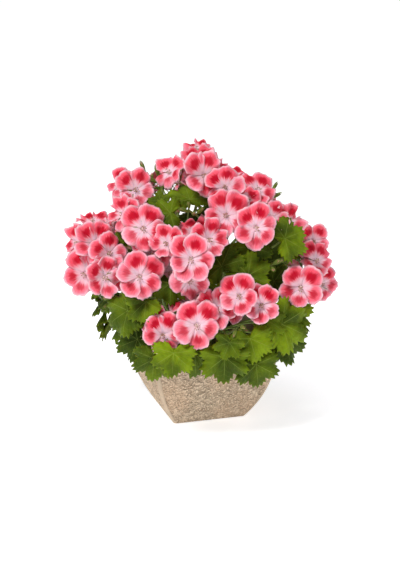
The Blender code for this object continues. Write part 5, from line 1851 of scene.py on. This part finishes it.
@dataclass
class FlowerHeads:
    """Dresses the flower heads: ruffled corollas with stamens, calyces and pedicels on a hub."""

    rows: int = 14
    columns: int = 17
    petal_thickness: float = 0.5 * MM
    ruffle: float = 0.15
    frill: float = 0.03
    jag: float = 0.016
    turned: float = 0.12
    gather: float = 0.07
    upper_lengths: tuple = (0.95, 1.06)
    lower_lengths: tuple = (0.84, 1.0)
    rim_turn: float = math.radians(112)
    head: float = 0.42
    claw: float = 0.92
    waves: tuple = (3.2, 5.0)
    frills: tuple = (9.0, 12.0)
    jags: tuple = (2.4, 3.6)
    nick: float = 0.04
    ruffles: tuple = (0.6, 1.3)
    upper_darks: tuple = (0.8, 1.0)
    lower_darks: tuple = (0.1, 0.65)
    upper_widths: tuple = (0.98, 1.14)
    lower_widths: tuple = (0.84, 1.0)
    lap: float = 0.12
    tips: tuple = (-0.15, 0.42)
    sides: tuple = (-0.38, 0.14)
    tilts: tuple = (-0.10, 0.14)
    lean: float = 0.17
    twist: float = 0.11
    crease: float = 0.09
    stamens: int = 7
    filament_radius: float = 0.28 * MM
    filament_leans: tuple = (0.05, 0.11)
    filament_lengths: tuple = (0.2, 0.31)
    style_lean: float = 0.02
    style_length: float = 0.36
    style_radii: tuple = (0.25 * MM, 0.22 * MM, 0.12 * MM)
    anther_length: float = 1.8 * MM
    anther_radii: tuple = (0.2 * MM, 0.5 * MM, 0.5 * MM, 0.2 * MM)
    sepal_share: float = 0.36
    sepal_half_width: float = 0.075
    scale_thickness: float = 0.5 * MM
    bract_half_width: float = 1.7 * MM
    finishes: list = field(default_factory=list)

    def petal(self, bloom: Bloom, index: int) -> Patch:
        """One petal with its ruffled margin.

        Args:
            bloom: The corolla that it belongs to.
            index: Its number in the corolla.

        Returns:
            The petal as a thin blade.
        """
        whole = random.Random(f"lean {bloom.seed}")
        cup, ahead, aside = whole.uniform(*self.tilts), whole.uniform(-1, 1), whole.uniform(-1, 1)
        draw = random.Random(f"ruffle {bloom.seed} {index}")
        upper = index in (0, bloom.petals - 1)
        width = draw.uniform(*(self.upper_widths if upper else self.lower_widths))
        width = width * (5 / bloom.petals) ** 0.5
        reach = draw.uniform(*(self.upper_lengths if upper else self.lower_lengths))
        s, t = blade_shares(self.rows, self.columns)
        s = s**0.85
        rim = t * self.rim_turn
        jags, turned = draw.uniform(*self.jags), draw.uniform(0, TURN)
        edge = self.jag * (np.sin(jags * np.pi * t + turned) + 0.3 * np.sin(5.3 * np.pi * t - turned))
        edge -= draw.uniform(0, self.nick) * np.exp(-((t - draw.uniform(-0.2, 0.2)) ** 2) / 0.03)
        long = reach * (1 - self.head + self.head * np.cos(rim)) + edge * s**3
        x = PETAL_FOOT + (long - PETAL_FOOT) * s
        y = width * PETAL_HALF_WIDTH * np.sin(rim) * s**self.claw
        grid = bloom.petal(index, (x - PETAL_FOOT) / (1 - PETAL_FOOT), y / PETAL_HALF_WIDTH)
        waves, phase = draw.uniform(*self.waves), draw.uniform(0, TURN)
        frills, shift = draw.uniform(*self.frills), draw.uniform(0, TURN)
        lift = self.ruffle * draw.uniform(*self.ruffles) * s**3 * np.sin(waves * rim + phase)
        lift += self.frill * s**8 * np.sin(frills * rim + shift)
        lift += draw.uniform(*self.sides) * s**2 * t**2
        lift -= draw.uniform(*self.tips) * np.clip(s - 0.5, 0, 1) ** 2 * 4 * 0.64
        lift += draw.uniform(*self.tilts) * s + (self.lap + draw.uniform(-self.twist, self.twist)) * s**2 * t
        turn = TURN * (index + 0.5) / bloom.petals
        lift += (cup + self.lean * (ahead * math.cos(turn) + aside * math.sin(turn))) * s
        lift -= draw.uniform(0, self.crease) * np.exp(-((t - draw.uniform(-0.15, 0.15)) ** 2) / 0.02) * s
        x = x + 0.6 * self.frill * s**8 * np.sin(frills * rim * 1.3 + phase)
        size = (UPPER_PETAL if upper else LOWER_PETAL) * bloom.size
        grid[..., 0] = (x * math.cos(turn) - y * math.sin(turn)) * size
        grid[..., 1] = (x * math.sin(turn) + y * math.cos(turn)) * size
        grid[..., 2] += lift * bloom.size
        swing = draw.uniform(-self.turned, self.turned) + self.gather * math.sin(turn) * (1 if upper else -1)
        grid = grid @ np.array(Matrix.Rotation(swing, 3, "Z"))
        dark = draw.uniform(*(self.upper_darks if upper else self.lower_darks))
        return shell(bloom.to_world(grid), (s, t), dark, self.petal_thickness, HeadSlot.PETAL)

    def sepals(self, bloom: Bloom) -> Iterator[Patch]:
        """The calyx's five pointed sepals, which lie under the corolla between its petals.

        Args:
            bloom: The corolla.

        Yields:
            Each sepal.
        """
        s, t = blade_shares(7, 5)
        for k in range(5):
            turn = TURN * k / 5
            x = 0.03 + self.sepal_share * s
            y = t * self.sepal_half_width * np.sin(np.pi * np.minimum(0.25 + s * 0.78, 1))
            z = 0.8 * (0.6 * x - 0.36 * x**2) - 0.055 + 0.02 * np.abs(t)
            points = np.stack([x, y, z], 2) @ np.array(Matrix.Rotation(-turn, 3, "Z"))
            world = bloom.to_world(points * bloom.size)
            yield shell(world, (s, t), 0.2, self.scale_thickness, HeadSlot.STALK)

    def throat(self, bloom: Bloom) -> Iterator[Patch]:
        """The stamens and the style in the throat, which lean to the lower petals, on a small boss.

        Args:
            bloom: The corolla.

        Yields:
            Filaments, anthers, the style, its spread tips, and the boss.
        """
        draw = random.Random(f"throat {bloom.seed}")
        for k in range(self.stamens + 1):
            style = k == self.stamens
            angle = TURN * (k + draw.uniform(0, 0.6)) / self.stamens
            lean = self.style_lean if style else draw.uniform(*self.filament_leans)
            length = (self.style_length if style else draw.uniform(*self.filament_lengths)) * bloom.size
            foot = np.array([0.02 * math.cos(angle), 0.02 * math.sin(angle), 0.0]) * bloom.size
            tip = foot + np.array([lean * math.cos(angle) - 0.04, lean * math.sin(angle), 0]) * bloom.size
            bend = foot + (tip - foot) * 0.3 + np.array([0, 0, length * 0.6])
            tip = tip + np.array([0, 0, length])
            curve, widths = smooth_path([foot, bend, tip], [self.filament_radius] * 3, 3)
            curve = bloom.to_world(curve)
            yield pipe(curve, widths * (1.2 if style else 1), 5, 0.5, HeadSlot.FILAMENT)
            ahead = (curve[-1] - curve[-2]) / np.linalg.norm(curve[-1] - curve[-2])
            if style:
                for lobe in range(5):
                    side = np.array(around(bloom.turn, TURN * lobe / 5)) * MM
                    ends = [curve[-1], curve[-1] + ahead * 0.9 * MM + side * 0.5, curve[-1] + side * 1.7]
                    arm = smooth_path(ends, self.style_radii, 2)
                    yield pipe(*arm, 4, 0.5, HeadSlot.ANTHER)
            else:
                side = np.array(around(bloom.turn, angle))
                ends = [curve[-1] + side * self.anther_length * share for share in (-0.5, -0.25, 0.25, 0.5)]
                yield pipe(np.array(ends), self.anther_radii, 5, 0.5, HeadSlot.ANTHER)
        ends = bloom.to_world(np.array([[0, 0, -0.04], [0, 0, -0.01], [0, 0, 0.03]]) * bloom.size)
        yield pipe(ends, np.array([0.07, 0.085, 0.05]) * bloom.size, 10, 0.3, HeadSlot.FILAMENT)

    def bracts(self, head: Head) -> Iterator[Patch]:
        """The small scales round the hub.

        Args:
            head: The flower head.

        Yields:
            Each scale.
        """
        turn = axes_along(head.axis, UP)
        s, t = blade_shares(6, 5)
        base, axis = np.array(head.hub), np.array(head.axis)
        for k in range(6):
            side = np.array(around(turn, TURN * k / 6))
            out = HUB_RADIUS * (0.85 + 0.75 * s)
            rise = HUB_HEIGHT * (0.25 + 1.25 * s)
            width = self.bract_half_width * np.sin(np.pi * np.minimum(0.3 + 0.72 * s, 1)) * t
            world = base + spread(side, axis, out, rise, width)
            yield shell(world, (s, t), 0.1, self.scale_thickness, HeadSlot.STALK)

    def dress(self, head: Head) -> None:
        """Makes the piece that stands for one head's node.

        Args:
            head: The flower head.
        """
        piece = Piece(f"flowers_{head.name}", self.finishes)
        hub = [head.hub + head.axis * rise for rise in (-0.2 * MM, HUB_HEIGHT * 0.5, HUB_HEIGHT)]
        widths = [PEDUNCLE_RADIUS * 1.1, HUB_RADIUS, HUB_RADIUS * 0.7]
        piece.add(pipe(*smooth_path(hub, widths, 4), 12, 0.4, HeadSlot.STALK), *self.bracts(head))
        for bloom, pedicel in zip(head.blooms, head.pedicels):
            piece.add(*(self.petal(bloom, k) for k in range(bloom.petals)))
            piece.add(*self.sepals(bloom), *self.throat(bloom))
            piece.add(*hairy(pedicel, 5, 8, (0.8, 0.4), HeadSlot.STALK))
        piece.make(head.name, "petals")


class StemSlot(IntEnum):
    """The materials of a leafy stem."""

    LEAF = 0
    STALK = 1
    WOOD = 2
    BUD = 3
    SPENT = 4


@dataclass
class LeafyStems:
    """Dresses the stems: woody shoots, leaf stalks, toothed leaves and bud clusters.

    A leaf's waves have a height, the power by which they grow outward, and how many crests go round.
    """

    blade_reach: float = 1.06
    tooth_turn: float = LEAF_LOBE / 5
    tooth: float = 0.135
    cut: float = 0.05
    fill: float = 0.06
    blunt: float = 0.06
    quilt: float = 0.013
    pleat: float = 0.10
    waves: tuple = ((0.06, 3, 7), (0.025, 6, 19))
    droops: tuple = (0.0, 0.16)
    bends: tuple = (0.0, 0.10)
    lopsided: tuple = (0.0, 0.05)
    blade_thickness: float = 0.6 * MM
    calyx_thickness: float = 0.4 * MM
    # Painted shade: leaves nearer the crown's centre than the first distance take the darkest tone, fading
    # out by the second
    inner: tuple = (92 * MM, 148 * MM)
    rings: tuple = (0.08, 0.24, 0.42, 0.58, 0.72, 0.84, 0.93, 1.0)
    knots: int = 9
    knot_share: float = 0.10
    bud_sides: int = 10
    bud_stretch: float = 1.35
    bud_slimness: float = 0.84
    spent_below: float = 112 * MM
    finishes: list = field(default_factory=list)

    def leaf(self, leaf: Leaf) -> Patch:
        """One leaf with pointed teeth, pleated along its veins and waved at its edge.

        Args:
            leaf: Its place and size.

        Returns:
            The leaf as a thin blade.
        """
        draw = random.Random(f"leaf {leaf.seed}")
        step = self.tooth_turn / 4
        count = int(180 / step)
        angles = np.arange(-count, count + 1) * step
        r, a = np.meshgrid(np.array(self.rings), angles, indexing="ij")
        saw = 1 - 2 * np.abs((a / self.tooth_turn + 0.5) % 1 - 0.5) * 2
        uneven = 1 + 0.45 * np.sin(a * 0.31 + draw.uniform(0, 6)) * np.sin(a * 0.083 + draw.uniform(0, 6))
        lobe = 0.5 - 0.5 * np.cos(TURN * a / LEAF_LOBE)
        rounded = self.fill * lobe - self.blunt * (1 - lobe) ** 6 - self.cut * lobe**8
        share = r * (1 + self.tooth * uneven * (saw * 0.5 - 0.12) * r**6 + rounded * r**3)
        lopsided = draw.uniform(*self.lopsided) * np.sin(a * 0.12 + draw.uniform(0, 6))
        share *= self.blade_reach * (1 + lopsided * r**2)
        grid = leaf.blade(a, share)
        across = np.abs((a / LEAF_LOBE + 0.5) % 1 - 0.5) * 2
        veins = np.cos(TURN * (r - across * VEIN_SLANT) * VEINS)
        quilt = self.quilt * veins * np.sin(np.pi * r) * lobe**0.5
        pleat = -self.pleat * lobe * r * (0.4 + 0.6 * r)
        wave = 0
        for high, power, crests in self.waves:
            wave = wave + high * r**power * np.sin(np.radians(a) * crests + draw.uniform(0, 6))
        droop = -draw.uniform(*self.droops) * np.clip(r - 0.5, 0, 1) ** 2 * 4
        bend = -draw.uniform(*self.bends) * (grid[..., 0] / leaf.size) ** 2
        grid[..., 2] += (quilt + pleat + wave + droop + bend) * leaf.size
        # Painted shade: a leaf deep in the crown takes a darker tone; the others keep a tone that differs at
        # random
        near, far = self.inner
        depth = (far - (leaf.place - CROWN_CENTRE).length) / (far - near)
        tone = max(draw.uniform(0, 1) ** 1.5, min(depth, 1)) * 0.95
        up, middle = np.array(leaf.turn.col[2]), np.array(leaf.place)
        rise = up * self.blade_thickness / 2
        blade = shell(leaf.to_world(grid), (r, a), tone, self.blade_thickness, StemSlot.LEAF, up)
        ring, centre = np.arange(len(angles)), len(blade.points)
        blade.triangles = np.vstack([fan(centre, ring), fan(centre + 1, ring[::-1] + r.size)])
        blade.points = np.vstack([blade.points, middle + rise, middle - rise])
        blade.places = np.vstack([blade.places, [[0, 0, tone], [0, 0, UNDERSIDE]]])
        return blade

    def bud(self, one: Stalk, draw: random.Random) -> Iterator[Patch]:
        """A closed bud on its stalk in a calyx with pointed tips, or low on the plant a spent, curled calyx.

        Args:
            one: The bud's own points and radii.
            draw: Draws its colour and the curl of its calyx.

        Yields:
            The stalk with the bud, its hairs, and the tips of its calyx.
        """
        foot, neck, _, tip = (np.array(point) for point in one.path)
        thin, _, wide, _ = one.radii
        spent = foot[2] < self.spent_below
        if not spent:
            tip = neck + (tip - neck) * self.bud_stretch
            wide *= self.bud_slimness
        slot = StemSlot.SPENT if spent else StemSlot.BUD
        marks = np.array([0, 0.12, 0.35, 0.6, 0.8, 0.93, 1.0]) * (0.6 if spent else 1)
        swell = np.array([0.36, 0.75, 1.0, 0.92, 0.62, 0.34, 0.08]) * (0.6 if spent else 1)
        curve = np.vstack([foot, foot + (neck - foot) * 0.6, neck + (tip - neck) * marks[:, None]])
        widths = np.concatenate([[thin * 0.8, thin * 0.8], wide * swell])
        yield pipe(curve, widths, self.bud_sides, draw.uniform(0, 1), slot)
        yield hairs(curve, widths, 0, slot)
        ahead = Vector(tip - neck).normalized()
        turn = axes_along(ahead, ahead.orthogonal())
        s, t = blade_shares(8, 5)
        length = np.linalg.norm(tip - neck)
        for k in range(5):
            side = np.array(around(turn, TURN * (k + 0.5) / 5))
            if spent:
                curl = draw.uniform(1.6, 3.0)
                out = wide * (0.35 + curl * np.sin(s * curl) / 1.6)
                rise = length * (0.02 + 0.55 * (1 - np.cos(s * curl)))
            else:
                out = wide * (0.5 + 0.62 * np.sin(np.pi * s * 0.75) - 0.6 * s**3)
                rise = length * (0.04 + 1.16 * s)
            width = wide * 0.55 * np.sin(np.pi * np.minimum(0.3 + 0.7 * s, 1)) * t
            world = neck + spread(side, np.array(ahead), out, rise, width)
            yield shell(world, (s * 0.7, t), 0, self.calyx_thickness, slot)

    def dress(self, stem: Stem) -> None:
        """Makes the piece that stands for one stem's node.

        Args:
            stem: The leafy stem.
        """
        piece = Piece(f"leafy_{stem.name}", self.finishes)
        curve, widths = smooth_path(stem.shoot.path, stem.shoot.radii, 8)
        swelling = 1 + self.knot_share * np.cos(np.linspace(0, self.knots * TURN, len(widths))) ** 8
        piece.add(pipe(curve, widths * swelling, 14, 1, StemSlot.WOOD))
        for stalk in stem.peduncles:
            piece.add(*hairy(stalk, 7, 10, (0.3, 0.1), StemSlot.STALK))
        for leaf, stalk in zip(stem.leaves, stem.petioles):
            piece.add(*hairy(stalk, 7, 8, (0.1, 0.1), StemSlot.STALK), self.leaf(leaf))
        draw = random.Random(stem.name)
        for cluster in stem.buds:
            for one in cluster:
                piece.add(*self.bud(one, draw))
        piece.make(stem.name, "leaf_green")


@dataclass
class Pot:
    """The square pot, with hammered relief on its flanks and smooth strips at its corners and rim."""

    columns: int = 120
    rows: int = 88
    arc: int = 5
    relief: float = 1.2 * MM
    lump: float = 4.2 * MM
    smooth_strip: float = 1.0 * MM

    def outline(self, half: float) -> tuple[Array, Array, Array]:
        """A level square with rounded corners.

        Args:
            half: Half its side.

        Returns:
            Its points, the way out at each, and how far each lies from the nearest corner's arc.
        """
        flat = half - POT_CORNER
        points, ways, clear = [], [], []
        for side in range(4):
            turn = side * math.pi / 2
            spin = np.array([[math.cos(turn), -math.sin(turn)], [math.sin(turn), math.cos(turn)]])
            for share in np.linspace(-1, 1, self.columns, endpoint=False):
                points.append(spin @ np.array([half, flat * share]))
                ways.append(spin @ np.array([1.0, 0.0]))
                clear.append(flat * (1 - abs(share)))
            for k in range(self.arc):
                angle = math.pi / 2 * k / self.arc
                way = np.array([math.cos(angle), math.sin(angle)])
                points.append(spin @ (np.array([flat, flat]) + way * POT_CORNER))
                ways.append(spin @ way)
                clear.append(0.0)
        return np.array(points), np.array(ways), np.array(clear)

    def make(self) -> None:
        """Makes the piece that stands for the pot."""
        noise.seed_set(POT_SEED)
        heights = np.linspace(0, POT_HEIGHT, self.rows)
        rings, places = [], []
        for height in heights:
            flat, way, clear = self.outline(pot_half(height))
            edge = min(height, POT_HEIGHT - height)
            fade = np.clip(np.minimum(clear, edge) / self.smooth_strip, 0, 1)
            fade = fade * fade * (3 - 2 * fade)
            level = np.array([self.hammered(Vector((x, y, height)) / self.lump) for x, y in flat])
            sunk = -self.relief * (1 - level) * fade
            points = flat + way * sunk[:, None]
            rings.append(np.column_stack([points, np.full(len(points), height)]))
            places.append(np.column_stack([level, 1 - fade, np.full(len(points), height / POT_HEIGHT)]))
        for height in (*heights[::-12], POT_WALL):
            flat, _, _ = self.outline(pot_half(height) - POT_WALL)
            rings.append(np.column_stack([flat, np.full(len(flat), height)]))
            places.append(np.tile([0.8, 1.0, height / POT_HEIGHT], (len(flat), 1)))
        columns = len(rings[0])
        points = np.vstack([*rings, [[0, 0, 0], [0, 0, POT_WALL]]])
        spots = np.vstack([*places, [[0.8, 1, 0]] * 2])
        centre = len(rings) * columns
        ring = np.arange(columns)
        caps = np.vstack([fan(centre, ring[::-1]), fan(centre + 1, centre - columns + ring)])
        piece = Piece("stone_pot", [StoneFinish().make()])
        piece.add(Patch(points, grid_quads(len(rings), columns, True), caps, spots))
        piece.make("pot", "pot_stone")

    @staticmethod
    def hammered(spot: Vector) -> float:
        """How high the hammered relief stands at a spot measured in lumps, from 0 to 1."""
        near, next_near = noise.voronoi(spot + noise.noise_vector(spot) * 0.35)[0][:2]
        return min(max(1.5 * (next_near - near) + 0.35 * noise.noise(spot * 0.6), 0), 1)


@dataclass
class Soil:
    """The soil: a domed, crumbly top in the pot."""

    cells: int = 72
    crumb: float = 1.6 * MM
    lump: float = 5 * MM
    grain: float = 1.8 * MM

    def make(self) -> None:
        """Makes the piece that stands for the soil."""
        half = soil_half(SOIL_TOP)
        shares = np.linspace(-1, 1, self.cells)
        x, y = np.meshgrid(shares * half, shares * half, indexing="ij")
        edge = np.maximum(np.abs(x), np.abs(y)) / half
        z = SOIL_TOP + SOIL_DOME * (1 - edge)
        spots = list(zip(x.ravel(), y.ravel()))
        lumps = np.array([noise.noise(Vector((a, b, 0)) / self.lump) for a, b in spots])
        fine = np.array([noise.noise(Vector((a, b, 9)) / self.grain) for a, b in spots])
        z = z + (lumps + 0.5 * fine).reshape(x.shape) * self.crumb * np.clip((1 - edge) * 8, 0, 1)
        top = np.stack([x, y, z], 2).reshape(-1, 3)
        number = np.arange(len(top)).reshape(x.shape)
        rim = np.concatenate([number[0, :-1], number[:-1, -1], number[-1, :0:-1], number[:0:-1, 0]])
        low = top[rim].copy()
        low[:, :2] *= soil_half(POT_WALL + GAP) / half
        low[:, 2] = POT_WALL + GAP
        foot = len(top) + np.arange(len(rim))
        wall = np.stack([rim, np.roll(rim, -1), np.roll(foot, -1), foot], 1)
        points = np.vstack([top, low, [[0, 0, POT_WALL + GAP]]])
        base = fan(len(points) - 1, foot)
        quads = np.vstack([grid_quads(self.cells, self.cells, False)[:, ::-1], wall])
        piece = Piece("peat_soil", [PeatFinish().make()])
        piece.add(Patch(points, quads, base, np.zeros((len(points), 3))))
        piece.make("soil", "soil_peat")


@dataclass
class Studio:
    """A plain pale floor that glows with painted light, soft light from the upper left, and the camera.

    Each light has a name, a place, the side of its square in metres and its power in watts.
    """

    floor_half: float = 20.0
    floor_drop: float = 0.2 * MM
    focal_length: float = 80.84
    sensor_height: float = 36.0
    world_strength: float = 0.29
    lights: tuple = (
        ("key_light", (-1.25, -1.1, 2.0), 0.6, 42.0),
        ("fill_light", (1.5, -1.4, 0.8), 1.4, 4.0),
        ("top_light", (0.1, 0.2, 2.0), 1.2, 7.0),
    )

    def make(self) -> None:
        """Sets up the floor, lights, world and camera."""
        bpy.ops.mesh.primitive_plane_add(size=2 * self.floor_half, location=(0, 0, -self.floor_drop))
        floor = bpy.context.active_object
        floor.name = "floor"
        floor.data.materials.append(FloorFinish().make())
        floor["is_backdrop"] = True
        for name, place, size, strength in self.lights:
            lamp = bpy.data.objects.new(name, bpy.data.lights.new(name, "AREA"))
            bpy.context.scene.collection.objects.link(lamp)
            lamp.data.size = size
            lamp.data.energy = strength
            lamp.location = place
            lamp.rotation_euler = (Vector(place) - CROWN_CENTRE).to_track_quat("Z", "Y").to_euler()
        world = bpy.data.worlds.new("studio")
        world.use_nodes = True
        sky = world.node_tree.nodes["Background"]
        sky.inputs["Color"].default_value = (1, 1, 1, 1)
        sky.inputs["Strength"].default_value = self.world_strength
        bpy.context.scene.world = world
        bpy.context.scene.view_settings.view_transform = "Standard"
        camera = bpy.data.objects.new("camera", bpy.data.cameras.new("camera"))
        bpy.context.scene.collection.objects.link(camera)
        camera.data.sensor_fit = "VERTICAL"
        camera.data.sensor_height = self.sensor_height
        camera.data.lens = self.focal_length
        camera.location = Viewer.eye
        camera.rotation_euler = Viewer.back.to_track_quat("Z", "Y").to_euler()
        bpy.context.scene.camera = camera


def corners(box: tuple) -> list:
    """A box's two corners as plain numbers."""
    return [[float(part) for part in corner] for corner in box]


def main() -> None:
    """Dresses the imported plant."""
    logging.basicConfig(level=logging.INFO, format="%(message)s")
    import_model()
    solid_box = corners(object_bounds())
    plant = Plant({"pot": pot_room(), "soil": soil_room()})
    logging.info("grown, without %s", plant.crowded)
    red_stalk = StalkFinish("flower_stalk_surface", (0.20, 0.30, 0.07), (0.36, 0.10, 0.07), 0.8).make()
    green_stalk = StalkFinish("leaf_stalk_surface", (0.19, 0.33, 0.06), (0.30, 0.24, 0.08), 0.5).make()
    wood = StalkFinish("shoot_surface", (0.16, 0.20, 0.06), (0.17, 0.10, 0.05), 1.0).make()
    filament = PlainFinish("filament_surface", (0.80, 0.60, 0.58)).make()
    anther = PlainFinish("anther_surface", (0.36, 0.20, 0.10)).make()
    heads = FlowerHeads(finishes=[PetalFinish().make(), red_stalk, filament, anther])
    spent = PlainFinish("spent_calyx_surface", (0.42, 0.46, 0.22), 0.7, 0.5).make()
    stems = LeafyStems(finishes=[LeafFinish().make(), green_stalk, wood, BudFinish().make(), spent])
    for head in plant.heads:
        heads.dress(head)
    for stem in plant.stems:
        stems.dress(stem)
    Pot().make()
    Soil().make()
    Studio().make()
    {"cad": solid_box, "visual": corners(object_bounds())}


if __name__ == "__main__":
    main()
